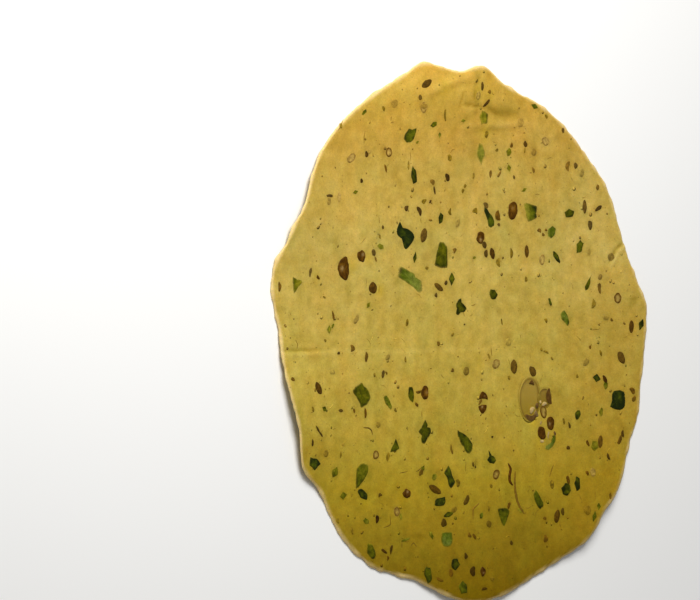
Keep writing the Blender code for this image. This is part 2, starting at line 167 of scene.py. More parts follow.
SEEDS = (
    (-41.6, 14.7, 4, 3, 85), (-18, 32.3, 5, 2.4, 70), (-17.5, 83, 4.6, 2, 30), (24, -11.7, 4.8, 2.6, 92),
    (32.8, -13.3, 4.2, 2.2, 130), (74.3, -8.7, 4.8, 2.4, 127), (-67.9, -18.7, 4.6, 2.2, 120),
    (78.5, 1.7, 4.4, 1.8, 92), (-12.9, -52.7, 6, 2, 155), (57.2, 42, 4.6, 1.6, 92),
    (13.9, 26.3, 4, 1.8, 105), (30, 27, 4.4, 1.6, 92), (64.2, -37, 4.2, 1.8, 80), (-11.1, 15, 4.6, 1.6, 152),
    (43.4, -62, 4.6, 2, 78),
)

# Spice too small for the solid, by how dark it shows: x, y, length, width, turn in degrees
DARK_BITS = (
    (-20.2, 78.3, 1.7, 1.4, 90), (-44.5, 59.4, 2.1, 1.5, 95), (-46.9, 50.4, 1.4, 1.2, 90),
    (-62.6, 45.4, 3.2, 1.1, 177), (-13.1, 47.5, 2.6, 0.7, 104), (-7, 51.7, 2.6, 1.9, 112),
    (-26, 41.3, 1.9, 1.6, 60), (-20.2, 40.6, 3.4, 1.6, 128), (-15, 43.6, 1.3, 0.8, 57),
    (-37, 34.9, 1.4, 0.9, 97), (8.2, 82.4, 2.7, 1.2, 92), (10.6, 76.6, 3.6, 1, 41), (47, 67.7, 1.5, 1.1, 98),
    (29.5, 63, 2.2, 1.8, 96), (52.9, 55.8, 1.9, 1.7, 90), (24.1, 51.9, 1.2, 0.9, 109),
    (63.7, 41.5, 3.4, 1.5, 25), (59.8, 36, 3, 2.2, 101), (10.9, 42.3, 2.4, 2, 101),
    (16.9, 35.9, 1.2, 0.9, 134), (10.2, 29.1, 2.6, 2, 115), (11, 26.3, 2.3, 1.7, 87),
    (66.7, -16, 3.2, 1.5, 133), (-41.3, 26.4, 2.2, 1.8, 111), (-70.6, 20, 3, 1.2, 75),
    (-12.3, 12.3, 1.5, 1.2, 90), (-7.7, 16.4, 1.6, 1.2, 60), (-57.6, -7.1, 1.3, 0.9, 176),
    (-36.9, -14.1, 2.6, 1.2, 75), (-57.1, -26.2, 2.2, 1.1, 0), (-68.5, -32.4, 2.9, 0.8, 131),
    (-66.9, -34, 2.7, 0.7, 137), (-71.1, -36.9, 2.3, 1, 90), (5.5, -44.5, 2.6, 1.5, 100),
    (-38.3, -54.5, 1.6, 1.2, 35), (-39.6, -62.5, 2.7, 1.5, 85), (1.7, -56.5, 3.8, 1.7, 54),
    (-9, -64.1, 3, 2.3, 110), (-36.4, -73.2, 2.7, 0.9, 153), (-33.1, -72.6, 2.9, 1, 77),
    (0.8, -75.1, 2.3, 1.6, 80), (4, -80.1, 3, 2.5, 83), (49.9, -31.5, 2.1, 0.9, 101),
    (49, -39, 1.6, 1.2, 174), (67.7, -42.1, 2.4, 1, 112), (75, -34.3, 2.3, 1.2, 104),
    (45.9, -60.5, 2.6, 1.2, 94), (22.7, -70.8, 1.4, 1.2, 117), (9, -86.1, 2.6, 0.9, 6),
    (0.9, 2.5, 0.8, 0.6, 0), (13.9, -35.2, 0.9, 0.7, 0),
)
BROWN_BITS = (
    (-14, 50.1, 2.4, 1.5, 141), (-35.7, 54.5, 2.7, 0.8, 107), (11.8, 80.4, 1.5, 1.1, 160),
    (22.9, 62.6, 1.8, 1.2, 83), (49.3, 55.8, 3.6, 1.5, 77), (33.1, 54.3, 2, 1, 120), (13, 53, 2.5, 1, 87),
    (17.2, 53, 2.8, 0.9, 56), (63.3, 48.6, 1.9, 1.3, 83), (35.8, 34, 1.8, 1.2, 160),
    (37.7, 32.6, 1.2, 1, 149), (39.1, 34.2, 1.2, 0.9, 114), (16.5, 38.9, 3.3, 2.1, 98),
    (-3.7, 27.3, 1.6, 1.4, 117), (69.4, 4, 1.3, 1, 141), (63.8, 14.8, 3.4, 1.7, 88),
    (59.7, -5.2, 1.2, 1, 137), (-4.7, -12.8, 1.5, 1.2, 60), (79.8, -19.9, 2.6, 1.6, 138),
    (80.4, -22.6, 2.2, 1.4, 60), (-40.4, 24.4, 1.8, 0.8, 115), (-84.6, 15, 3, 1.4, 90),
    (-67.1, 18.2, 1.6, 1.2, 139), (-59.9, 5.4, 3.2, 0.8, 104), (-11.2, -4, 1.5, 1.2, 128),
    (-51.2, -5.5, 2.3, 1.9, 90), (-44.7, -8.2, 3.1, 1.4, 91), (-35.4, -13.7, 1.2, 0.7, 124),
    (-21.3, -24.3, 1.7, 1.1, 148), (-80.2, -15.7, 1.8, 1.1, 160), (8.3, -23.5, 2.2, 1.1, 50),
    (-20.3, -20, 2.4, 0.9, 8), (-50.6, -26.2, 1.5, 0.9, 111), (-45.2, -27.2, 3, 1.1, 91),
    (-19.2, -46.9, 2.6, 1.3, 60), (-5.1, -39.3, 2.9, 0.8, 103), (-34.6, -75.5, 1.4, 0.8, 94),
    (-6.3, -80.7, 2.4, 1.8, 98), (-11.3, -82.9, 3, 1, 163), (2.8, -68.1, 1.8, 1.2, 130),
    (5.1, -68.6, 2, 1.1, 127), (58.2, -37.5, 2.1, 1, 120), (73.5, -36.5, 3, 1.4, 60),
    (48.5, -49.9, 3.1, 1.3, 104), (57.4, -47.5, 1.6, 1.4, 127), (67.4, -55.2, 2.1, 0.9, 87),
    (38, -62.7, 1.3, 1, 156), (38.5, -69.6, 2.3, 1.7, 80), (21.6, -58.2, 2.4, 1.2, 60),
)
OLIVE_BITS = (
    (-6.2, 58.4, 2.1, 1.7, 90), (-36.7, 74.6, 1.8, 1, 124), (-25.1, 55.8, 2.9, 0.7, 90),
    (-56.3, 68.7, 1.9, 1, 102), (0.2, 47.2, 1.4, 1.1, 60), (-5.8, 40.1, 2.3, 1.2, 102),
    (-8.8, 72.7, 3.8, 0.7, 90), (-17.9, 43.6, 2.4, 1.5, 50), (29.1, 60.9, 1.7, 0.6, 90),
    (5, 52.1, 2.2, 0.9, 84), (1.1, 48.9, 1.4, 1.2, 40), (5.8, 40.5, 2.4, 2, 157),
    (39.2, 72.3, 1.4, 1.1, 119), (16.7, 23.3, 2.6, 1.9, 90), (22.8, 26.4, 3.2, 1.2, 91),
    (29.7, 17.6, 1.9, 1.1, 90), (39.1, 3.8, 1.5, 1.1, 128), (61, 9.3, 2.9, 1.6, 75),
    (36.9, -5.9, 1.3, 0.9, 111), (39.1, -6.8, 2.4, 0.7, 160), (41.8, -8.9, 1.4, 0.8, 139),
    (64.7, -7.2, 2.1, 0.8, 113), (53.7, -15, 1.2, 0.9, 129), (12.4, -8.2, 1.9, 0.8, 119),
    (21.7, -15.4, 1.4, 1.1, 134), (-4.6, -0.9, 1.5, 0.9, 44), (18.3, 3.4, 2, 0.6, 102),
    (-16.6, 21.3, 1.6, 1.1, 157), (-25.8, 3, 2.4, 1.1, 70), (-63.8, -2.9, 1, 0.8, 136),
    (-40.8, -14.3, 1.3, 0.9, 111), (-26.5, -9.3, 2, 0.7, 99), (-64, 11.6, 1.1, 0.7, 144),
    (-38.4, 31.8, 1.5, 0.9, 104), (-71, -25.7, 1.8, 1, 107), (-31.2, -26.1, 1.5, 0.9, 122),
    (-56.9, -40.9, 2.2, 0.8, 92), (-34.6, -41.8, 2.7, 1.3, 80), (-57.8, -63, 1.5, 1.1, 102),
    (-51.2, -66.4, 2.5, 1.1, 109), (-2.1, -50.5, 2.8, 1.7, 98), (13.3, -51.7, 1.4, 1, 141),
    (41.2, -51.3, 3.1, 1.6, 95), (12, -59.3, 1.8, 0.9, 96), (12.9, -82.9, 2, 1.4, 137),
    (47.3, -30.1, 1.8, 0.9, 107), (10.9, 66.2, 2.6, 1.6, 70), (16, 60.9, 1.4, 0.9, 30),
)

# Yellow stains beside the spices: x, y, radius, strength
STAINS = (
    (-38.3, 14, 2, 0.5), (-67.9, 18.3, 2, 0.35), (-43.9, 24.7, 1.8, 0.4), (-51.6, 22.4, 2.4, 0.4),
    (-23.1, -22.7, 2, 0.3), (-9.2, -51, 1.8, 0.35), (-45.2, -57, 2.2, 0.35), (33.2, -30.8, 2, 0.4),
    (-27.9, -55.8, 2.4, 0.3), (10, 66.3, 3, 0.35), (44, -35, 1.8, 0.3), (8, -11, 2, 0.2),
    (6.2, 79.7, 1.6, 0.6), (12, 80, 2.5, 0.3), (-9, 82, 3, 0.3), (36, -37, 2.2, 0.3),
)

# Flat chilli seeds: x, y, length, width, turn in degrees, and how dark the edge is
CHILLI_SEEDS = (
    (-18.5, 75, 3.7, 3, 90, 0.55), (-34.2, 60, 3.4, 3, 100, 1.1), (15.7, -10.7, 3.8, 3.3, 40, 0.7),
    (-30.5, -60, 3.4, 2.8, 90, 0.8), (-40.2, -41, 3.2, 2.8, 60, 1), (60, -47.3, 3, 2.6, 90, 0.5),
    (38.8, 64, 3.6, 3, 160, 0.5), (37.2, 24.2, 3.8, 2.6, 80, 0.5), (-51.6, 58, 4.4, 2.8, 35, 0.6),
    (72, 11.3, 3.8, 3.4, 80, 1.3), (15.7, -47.8, 3.8, 3, 60, 1.2), (6.4, 79.2, 3, 2.4, 80, 0.5),
    (-57.9, 45, 3.4, 1.6, 88, 0.3),
)

# Smaller ones, spread by the seeded rule of the solid
SCATTER_SEED = 41
SMALL_FLAKES = 16
SMALL_SEEDS = 24
LONGEST_SMALL_FLAKE = 3.6
LONGEST_SMALL_SEED = 3.4
RIM_MARGIN = 5.0
CLEARANCE = 2.0
TRIES = 200

# Stalk threads: routes through these points, and their radius
THREADS = (
    (((21.2, -44), (22.6, -46), (21.9, -48.2), (22, -50.2), (23.6, -51.6)), 0.62),
    (((24.6, -46.6), (24.3, -50), (24.6, -53.5), (25.6, -57), (27.3, -59.6), (28.9, -61.2)), 0.5),
    (((7.8, -57.3), (4.6, -59.3), (4.6, -63)), 0.28),
    (((-46.2, -31.9), (-43.6, -32), (-42.3, -32.8), (-41.8, -34.4)), 0.26),
    (((42.2, -44.6), (41.2, -46.4), (40.2, -48.9)), 0.15),
    (((-29.5, -47.2), (-27.4, -46.9), (-25.4, -46.6)), 0.12),
    (((-21.7, -46.7), (-20.4, -46.3), (-19.2, -45.4)), 0.14),
    (((-33.8, -60.6), (-33.3, -64.4), (-36.8, -65.4)), 0.14),
    (((-24.2, -71.6), (-22.8, -70.4), (-21.4, -71.8)), 0.14),
    (((-55.2, 71.2), (-56.5, 68.4), (-57.9, 66.9)), 0.12),
    (((-33, 72), (-33.3, 70.5)), 0.14),
    (((-45.2, 67.2), (-45.7, 65), (-45.7, 62.4)), 0.14),
    (((-38.8, 38.4), (-38.6, 36.2)), 0.13),
    (((-60, 7), (-60.2, 4.2)), 0.13),
    (((-18.9, -26.4), (-18.9, -28.5)), 0.14),
    (((-28.2, -70), (-28.1, -72.2)), 0.14),
)

# Creases on the upper face: ends, height, half-width, and how much painted highlight (positive) or painted
# shade (negative) they lay on the dough along them; the two short wide ones near (1, 72) and (6, 74) darken
# small brown patches
CREASES = (
    ((-84.5, -6.2), (-64, -5.8), -0.22, 0.6, -0.3), ((-84.5, -7.6), (-60, -7.2), 0.16, 0.9, 0.14),
    ((-17.5, 80), (3.2, 86), 0.3, 2, 0.13), ((-15.2, 78.4), (-7.4, 81.6), -0.25, 1.4, -0.16),
    ((-8.4, 81.4), (1.5, 83.8), -0.25, 1.4, -0.16), ((-0.9, 80), (-2.8, 74.8), -0.14, 0.5, -0.28),
    ((-8.8, 75.2), (-9.1, 71), -0.14, 0.5, -0.22), ((-1.2, 76.4), (10, 75.3), -0.3, 0.6, -0.42),
    ((1, 74.6), (8.5, 74.4), 0.15, 0.8, 0.08), ((0.8, 72), (1.4, 71.6), -0.1, 1.5, -0.26),
    ((5, 73.8), (6.2, 73.6), -0.05, 1.3, -0.2), ((10.5, 75.4), (17, 73.1), -0.26, 1.1, -0.3),
    ((15.7, 73.3), (25.5, 73.2), -0.3, 1.7, -0.34), ((1, 69.2), (31.5, 69.8), 0.26, 1.1, 0.16),
    ((5.5, 67.4), (25, 67.9), -0.14, 0.8, -0.12), ((4.6, 82.4), (7, 85.8), -0.16, 0.8, -0.22),
    ((4.6, 80.8), (4.3, 78.2), -0.1, 0.5, -0.26), ((4.3, 78.4), (6.4, 76.8), -0.1, 0.5, -0.22),
    ((-23.5, -68.2), (-17.6, -68.4), -0.12, 0.6, -0.22), ((-20.4, -66.4), (-19.6, -66.2), 0.1, 0.7, 0.25),
    ((74.8, 29.7), (71.6, 27.9), -0.22, 0.6, -0.34), ((71.6, 27.7), (68.4, 23.2), -0.22, 0.6, -0.34),
    ((75.6, 28.6), (72.4, 26.6), 0.24, 0.7, 0.22), ((72.4, 26.6), (69.4, 22.4), 0.24, 0.7, 0.22),
    ((76.2, 11), (81.7, 11.2), -0.08, 0.5, -0.18), ((48, -73.2), (50.4, -73.2), -0.12, 0.6, -0.18),
)

# Faint bands of painted highlight across the sheet, and of painted shade where the strength is negative:
# start, end, level, half-width, strength
PAINTED_LIGHT_BANDS = (
    (-20, 66, 20.7, 2, 0.08), (-80, 22, -6, 0.8, 0.1), (-60, 40, -8.5, 2.5, 0.03), (-30, 50, 51, 2.2, 0.04),
    (-50, 20, 33, 1.5, 0.03), (-30, 30, -30, 1.8, -0.02),
)

# Dough colours from the low side to the upper side: level, and the colour there. The run is partly painted
# light falloff, darker towards the low side and lighter at the top
DOUGH_AND_FALLOFF_TONES = np.array((
    (-88.0, 0.195, 0.118, 0.001), (-50.0, 0.385, 0.266, 0.016), (-15.0, 0.490, 0.353, 0.052),
    (32.0, 0.488, 0.350, 0.067), (64.0, 0.474, 0.298, 0.047), (76.0, 0.488, 0.301, 0.041),
    (85.0, 0.625, 0.388, 0.060),
))
PALE_TONE = np.array((0.535, 0.380, 0.082))
# Pale rim line: thinner, paler dough at the edge, partly a painted highlight where the edge catches light
RIM_PALE_AND_HIGHLIGHT_TONE = np.array((0.880, 0.660, 0.290))
CREAM_TONE = np.array((0.560, 0.400, 0.160))
STAIN_TONE = np.array((0.480, 0.320, 0.008))
RIGHT_SHIFT = np.array((0.96, 0.89, 0.80))

# Paler patches of dough: x, y, radius, strength
PALE_PATCHES = ((-58.0, 20.0, 26.0, 0.6), (62.0, 32.0, 20.0, 0.8), (5.0, 22.0, 30.0, 0.2))

# How warmth and light act on red, green and blue
WARM_SHIFT = np.array((0.06, -0.04, -0.12))
SHADE_POWER = np.array((1.0, 1.1, 2.2))

# Topping colours; those of the flakes run from bare to fully veiled by dough
FLAKE_TONES = np.array(((0.014, 0.018, 0.001), (0.100, 0.100, 0.001), (0.280, 0.225, 0.012)))
BLUE_SHIFT = np.array((0.75, 1.05, 3.0))
PEPPER_EDGE = np.array((0.056, 0.021, 0.001))
PEPPER_CORE = np.array((0.165, 0.072, 0.003))
SEED_TONE = np.array((0.052, 0.021, 0.001))
SEED_RIDGE = np.array((0.180, 0.080, 0.003))
CHILLI_SEED_TONE = np.array((0.440, 0.290, 0.080))
CHILLI_SEED_EDGE = np.array((0.110, 0.048, 0.002))
# How much cream goes into the middle of a pepper piece's broken core: a painted highlight
PEPPER_HIGHLIGHT_FLECK = 1.6
THREAD_TONE = np.array((0.120, 0.066, 0.006))
BIT_TONES = (
    np.array((0.044, 0.018, 0.001)), np.array((0.120, 0.054, 0.002)), np.array((0.195, 0.122, 0.006)),
)
# Skin of the burst bubble, darker than the dough and darker towards the low side: partly painted shade in the
# recess
LOWER_BUBBLE_SKIN_AND_SHADE = np.array((0.300, 0.200, 0.018))
UPPER_BUBBLE_SKIN_AND_SHADE = np.array((0.370, 0.250, 0.042))
BUBBLE_LIP = np.array((0.095, 0.046, 0.002))

# Tint of the dough round a topping, and how far it reaches
HALO = 0.14
HALO_WIDTH = 0.6

# Relief: how far toppings stand up, are tucked in, and show below
FLAKE_RISE = 0.16
SEED_RISE = 0.26
PEPPER_RISE = 0.24
CHILLI_SEED_RISE = 0.12
BIT_RISE = 0.16
TUCK = 0.08
SHOW_BELOW = 0.012
CORNER_SOFTENING = 0.95
FLAKE_SIZE = 1.09

# The grid that the sheet is bent from, before and after
SHEET_CELLS = 216
SLAB = 0.1
RIM_ROUNDING = 0.2
NIBBLE_CIRCLE = 9.0

# Heights of the rings of a topping from its middle outwards: share of the outline, share of the rise
FLAKE_RINGS = ((0.0, 0.8), (0.35, 0.9), (0.65, 1.0), (0.84, 0.85), (0.95, 0.4), (1.0, -0.5))
SEED_RINGS = ((0.0, 1.0), (0.4, 0.93), (0.7, 0.72), (0.9, 0.4), (1.0, -0.3))
PEPPER_RINGS = ((0.0, 0.5), (0.3, 0.6), (0.55, 0.95), (0.78, 1.0), (0.93, 0.5), (1.0, -0.3))
BIT_RINGS = ((0.0, 0.9), (0.5, 1.0), (0.85, 0.6), (1.0, -0.4))
CHILLI_SEED_RINGS = ((0.0, 0.6), (0.5, 0.7), (0.8, 1.0), (0.92, 0.7), (1.0, -0.5))
BACK_RINGS = ((0.97, 0.25), (0.9, -0.4 * SHOW_BELOW), (0.7, -SHOW_BELOW), (0.0, -SHOW_BELOW))
BUBBLE_RINGS = (
    (0.0, -0.3), (0.3, -0.3), (0.55, -0.3), (0.75, -0.28), (0.88, -0.22), (0.95, -0.1),
    (1.0, 0.01), (1.05, 0.01), (1.12, -0.05),
)

# Crumpled skin and crumbs at the burst: x, y, length, width, turn, bend, and 0 for brown to 1 for cream
BUBBLE_CRUMBS = (
    (32.4, -17.1, 2.6, 1.3, 165, -0.7, 0.05), (32, -28.6, 6, 2.1, 182, 1.6, 0.08),
    (32.6, -26.3, 2.8, 1.7, 40, 0.4, 0.85), (34.6, -27.6, 2.6, 1.4, 120, 0.4, 0.25),
    (34.9, -24.8, 2, 1.5, 90, 0, 0.12), (36.4, -23.6, 1.2, 1, 90, 0, 0.95),
    (40.5, -21.8, 6.6, 2.3, 99, 1, 0.04), (38.3, -24.3, 2.2, 1.4, 20, 0.3, 0.75),
    (37, -36.8, 1.9, 1.1, 0, 0.2, 0.85), (40, -34.6, 2.6, 0.8, 80, 0.1, 0.7),
    (43, -34.2, 1.7, 1.1, 110, 0, 0.1), (36.6, -30.6, 1.4, 0.8, 60, 0, 0.45),
)
BUBBLE_RING = (37.8, -26.9, 4.6, 3.2, 108)

# Layers of noise: strength, size of the features, number. First those of the dough's colour, warmth, rim
# and relief, then those of the toppings' relief and colours
CLOUDS = ((0.08, 26.0, 3.0), (0.11, 9.0, 4.0), (0.13, 3.2, 5.0))
WARMTH = ((0.7, 12.0, 5.0), (0.5, 4.5, 6.0))
NIBBLES = ((0.56, 0.55, 7.0), (0.28, 0.22, 8.0))
DIMPLES = ((0.035, 5.0, 11.0), (0.02, 1.8, 12.0))
INLAY_ROUGHNESS = ((0.35, 0.8, 21.0),)
FLAKE_MOTTLE = ((0.35, 1.4, 31.0), (0.2, 0.5, 32.0))
PEPPER_MOTTLE = ((0.7, 0.9, 33.0),)
SEED_MOTTLE = ((0.6, 0.9, 34.0),)
CHILLI_SEED_MOTTLE = ((0.6, 1.0, 35.0),)
BIT_MOTTLE = ((0.9, 0.8, 36.0),)
CRUMB_MOTTLE = ((0.5, 0.9, 37.0),)

# Specks and short fibres, and bits so deep in the dough that they only tint it
TOP_SPECKS = 480
UNDER_SPECKS = 520
STREAKS = 110
BURIED_BITS = 90
BURIED_REACH = 82.0
SPECK_MARGIN = 1.2
SPECK_RISE = 0.04
SPECK_LIFT = 0.02
SPECK_SIDES = 7
THREAD_SIDES = 6

# Materials: noise scales are per metre; grain adds detail and strength, bump a height in metres
MATERIALS = {
    "dough": dict(
        name="papadum_dough", grain=((330.0, 4.0, 0.06), (900.0, 3.0, 0.07), (2200.0, 2.0, 0.08)),
        roughness=0.55, bump=((420.0, 0.00012), (1700.0, 0.00005)), scatter=0.15, dusted=True,
    ),
    "skin": dict(
        name="bubble_skin", grain=((400.0, 3.0, 0.05),), roughness=0.42,
        bump=((300.0, 0.00006),), scatter=0.2,
    ),
    "chilli": dict(
        name="dried_chilli", grain=((700.0, 4.0, 0.28), (2200.0, 3.0, 0.2)), roughness=0.5,
        bump=((1100.0, 0.00012),), scatter=0.05,
    ),
    "spice": dict(
        name="brown_spice", grain=((900.0, 3.0, 0.25), (2400.0, 2.0, 0.2)), roughness=0.55,
        bump=((1400.0, 0.0001),), scatter=0.0,
    ),
}

# Freckles: cells per metre, size of the dots in a cell, share of cells without one, strength
FRECKLES = ((620.0, 0.2, 0.72, 0.5), (1300.0, 0.26, 0.6, 0.3))
FRECKLE_TONE = (0.13, 0.07, 0.008, 1.0)

# Camera, from where the sheet stands in the photo
PHOTO_WIDTH_PX = 700
PHOTO_MIDDLE_PX = (350.0, 300.0)
SHEET_MIDDLE_PX = (463.0, 332.0)
PX_PER_MM = 3.0
VIEW_ELEVATION = 46.2
CAMERA_DISTANCE = 8000.0
SENSOR_WIDTH_MM = 36.0
CLIP_END_M = 40.0

# Floor and light
FLOOR_HALF_M = 4.0
FLOOR_GAP = 0.08
WINDOW_PLACE_M = (-0.18, 0.40, 0.42)
WINDOW_SIZE_M = 0.35
WINDOW_POWER = 4.3
FILL_STRENGTH = 0.25


def smooth_rim(angle):
    """Reach of the rim at an angle in degrees: a closed Catmull-Rom curve through RIM."""
    count = len(RIM)
    angle = (angle + 180.0) % 360.0 - 180.0
    start = max(i for i in range(count) if RIM[i][0] <= angle)
    angles = []
    reaches = []
    for step in (-1, 0, 1, 2):
        turns, place = divmod(start + step, count)
        angles.append(RIM[place][0] + 360.0 * turns)
        reaches.append(RIM[place][1])
    span = angles[2] - angles[1]
    slope_in = (reaches[2] - reaches[0]) / (angles[2] - angles[0]) * span
    slope_out = (reaches[3] - reaches[1]) / (angles[3] - angles[1]) * span
    t = (angle - angles[1]) / span
    return (
        (2 * t**3 - 3 * t**2 + 1) * reaches[1]
        + (t**3 - 2 * t**2 + t) * slope_in
        + (3 * t**2 - 2 * t**3) * reaches[2]
        + (t**3 - t**2) * slope_out
    )


TABLE_ANGLES = np.arange(-180.0, 180.0, 0.5)
TABLE_REACHES = np.array([smooth_rim(angle) for angle in TABLE_ANGLES])


def rim_reach(angle):
    """Reach of the rim for an array of angles in degrees."""
    return np.interp(angle, TABLE_ANGLES, TABLE_REACHES, period=360.0)


def sheet_middle():
    """Middle of the rim's box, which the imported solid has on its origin."""
    x = TABLE_REACHES * np.cos(np.radians(TABLE_ANGLES))
    y = TABLE_REACHES * np.sin(np.radians(TABLE_ANGLES))
    return np.array(((x.min() + x.max()) / 2.0, (y.min() + y.max()) / 2.0, 0.0))


def smoothstep(low, high, value):
    """Zero at low and one at high, with a soft way between; low may be the larger."""
    t = np.clip((value - low) / (high - low), 0.0, 1.0)
    return t * t * (3.0 - 2.0 * t)


def mix(first, second, share):
    """Blends two colours, or arrays of them, by a share for each point."""
    share = np.asarray(share, float)
    if share.ndim:
        share = share[:, None]
    return first * (1.0 - share) + second * share


def bell(x, y, middle_x, middle_y, radius, squash=1.0):
    """One at a middle, falling softly to nothing at about twice the radius."""
    return np.exp(-((np.hypot(x - middle_x, squash * (y - middle_y)) / radius) ** 2))


def field(x, y, layers):
    """Smooth noise over the sheet: the sum of layers of (strength, size of the features, number)."""
    total = np.zeros(len(x))
    for strength, size, number in layers:
        points = (Vector((a / size, b / size, number)) for a, b in zip(x, y))
        total += strength * np.array([noise.noise(point) for point in points])
    return total


def mottle(local, spot, layers):
    """Noise over a topping's own points that differs from spot to spot."""
    return field(local[:, 0] + spot[0], local[:, 1] + spot[1], layers)


def at_point(function, x, y):
    """What a function over the sheet gives at one point."""
    return function(np.array((x,)), np.array((y,)))[0]


def underside(x, y):
    """Height of the underside: zero over the flat middle, rising towards each place where the rim lifts."""
    angle = np.degrees(np.arctan2(y, x))
    outward = (np.hypot(x, y) - FLAT_RADIUS) / (rim_reach(angle) - FLAT_RADIUS)
    height = np.zeros_like(outward)
    for middle, rise, half_width in LIFTS:
        away = np.abs((angle - middle + 180.0) % 360.0 - 180.0) / half_width
        height += rise * np.cos(np.minimum(away, 1.0) * np.pi / 2.0) ** 2
    return height * np.clip(outward, 0.0, None) ** CURL_POWER


def along_crease(x, y, start, end, half_width):
    """One on a crease's line, falling to zero beside it and past its ends."""
    (ax, ay), (bx, by) = start, end
    span = math.hypot(bx - ax, by - ay)
    along = np.clip(((x - ax) * (bx - ax) + (y - ay) * (by - ay)) / span**2, 0.0, 1.0)
    away = np.hypot(x - ax - along * (bx - ax), y - ay - along * (by - ay))
    fade = 0.35 + 0.65 * np.sin(np.pi * np.clip(along, 0.02, 0.98)) ** 0.7
    return fade * np.exp(-((away / half_width) ** 2))


def lobe_share(x, y, lobe):
    """How far out a point lies in a lobe of the burst bubble: 1 on its lip."""
    mx, my, width, height = lobe
    wobble = 1.0 + 0.06 * np.sin(3.0 * np.arctan2(y - my, x - mx) + mx)
    return np.hypot((x - mx) / (width / 2.0), (y - my) / (height / 2.0)) / wobble


def upper_face(x, y):
    """Height of the upper face with its creases."""
    height = underside(x, y) + THICKNESS
    for start, end, rise, half_width, _ in CREASES:
        height += rise * along_crease(x, y, start, end, half_width)
    return height


def dough_colour_and_painted_light(x, y):
    """Colour of the dough: olive in the middle, tan on the upper side, deeper and browner on the low side, a
    run that is partly painted light falloff; with painted shade and highlight along the creases and bands,
    and a pale rim that is partly a painted highlight.
    """
    level = y - 0.04 * x
    # The run up the sheet is partly painted light falloff: darker towards the low side, lighter at the top
    tone = np.stack([np.interp(level, DOUGH_AND_FALLOFF_TONES[:, 0], DOUGH_AND_FALLOFF_TONES[:, k]) for k in (1, 2, 3)], 1)
    for px, py, radius, strength in PALE_PATCHES:
        tone = mix(tone, PALE_TONE, strength * bell(x, y, px, py, radius))
    right = smoothstep(30.0, 72.0, x) * smoothstep(26.0, -6.0, y)
    tone = tone * RIGHT_SHIFT ** right[:, None]
    for sx, sy, radius, strength in STAINS:
        tone = mix(tone, STAIN_TONE, strength * bell(x, y, sx, sy, radius, 0.8))
    # light gathers the mottling of the dough's colour with the painted highlight and shade of the bands and
    # creases
    light = 1.0 + field(x, y, CLOUDS)
    for start, end, level, half_width, strength in PAINTED_LIGHT_BANDS:
        sway = level + 0.5 * np.sin(x / 21.0)
        ends = smoothstep(start, start + 15.0, x) * smoothstep(end, end - 25.0, x)
        light += strength * ends * np.exp(-(((y - sway) / half_width) ** 2))
    # Painted shade along the crease valleys and painted highlight along their ridges
    for start, end, _, half_width, shade in CREASES:
        light += shade * along_crease(x, y, start, end, half_width)
    tone = tone * (1.0 + field(x, y, WARMTH)[:, None] * WARM_SHIFT) * light[:, None] ** SHADE_POWER
    # The pale rim line: paler dough at the edge, partly a painted highlight
    rim_share = np.hypot(x, y) / rim_reach(np.degrees(np.arctan2(y, x)))
    return mix(tone, RIM_PALE_AND_HIGHLIGHT_TONE, 0.9 * smoothstep(0.988, 0.998, rim_share))


def halo_share(x, y, spot):
    """How much a topping tints the dough beside it: most at its edge, none a few millimetres off."""
    sx, sy, length, width, turn = spot
    along, across = turned(np.stack((x - sx, y - sy), 1), -turn).T
    scaled = np.maximum(np.hypot(along / (length / 2.0), across / (width / 2.0)), 1e-6)
    outside = np.maximum(np.hypot(along, across) * (1.0 - 1.0 / scaled), 0.0)
    return np.exp(-((outside / HALO_WIDTH) ** 2))


def add_object(name, data):
    """A new object in the scene."""
    made = bpy.data.objects.new(name, data)
    bpy.context.scene.collection.objects.link(made)
    return made


def grid_mesh(name, cells, size):
    """A flat square of cells by cells faces, from -size to size."""
    bm = bmesh.new()
    bmesh.ops.create_grid(bm, x_segments=cells, y_segments=cells, size=size)
    mesh = bpy.data.meshes.new(name)
    bm.to_mesh(mesh)
    bm.free()
    return mesh


def finish_mesh(name, verts, faces, tones, material):
    """Makes a piece of the object from arrays in millimetres, with its colours as an attribute."""
    mesh = bpy.data.meshes.new(name)
    verts = (np.asarray(verts) - sheet_middle()) * MM
    mesh.from_pydata(verts.tolist(), [], faces)
    colours = np.ones((len(verts), 4), np.float32)
    colours[:, :3] = np.clip(tones, 0.0, 1.0)
    mesh.attributes.new("tint", "FLOAT_COLOR", "POINT").data.foreach_set("color", colours.ravel())
    mesh.shade_smooth()
    piece = add_object(name, mesh)
    mesh.materials.append(material)
    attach(piece, "root")
    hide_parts("papadum")


def square_to_disc(x, y):
    """Carries points of the square from -1 to 1 to the unit disc: angles in degrees, shares of the reach."""
    wide = np.abs(x) >= np.abs(y)
    safe_x = np.where(x == 0.0, 1.0, x)
    safe_y = np.where(y == 0.0, 1.0, y)
    angle_wide = 45.0 * y / safe_x + np.where(x > 0.0, 0.0, 180.0)
    angle_tall = 90.0 - 45.0 * x / safe_y + np.where(y > 0.0, 0.0, 180.0)
    return np.where(wide, angle_wide, angle_tall), np.where(wide, np.abs(x), np.abs(y))


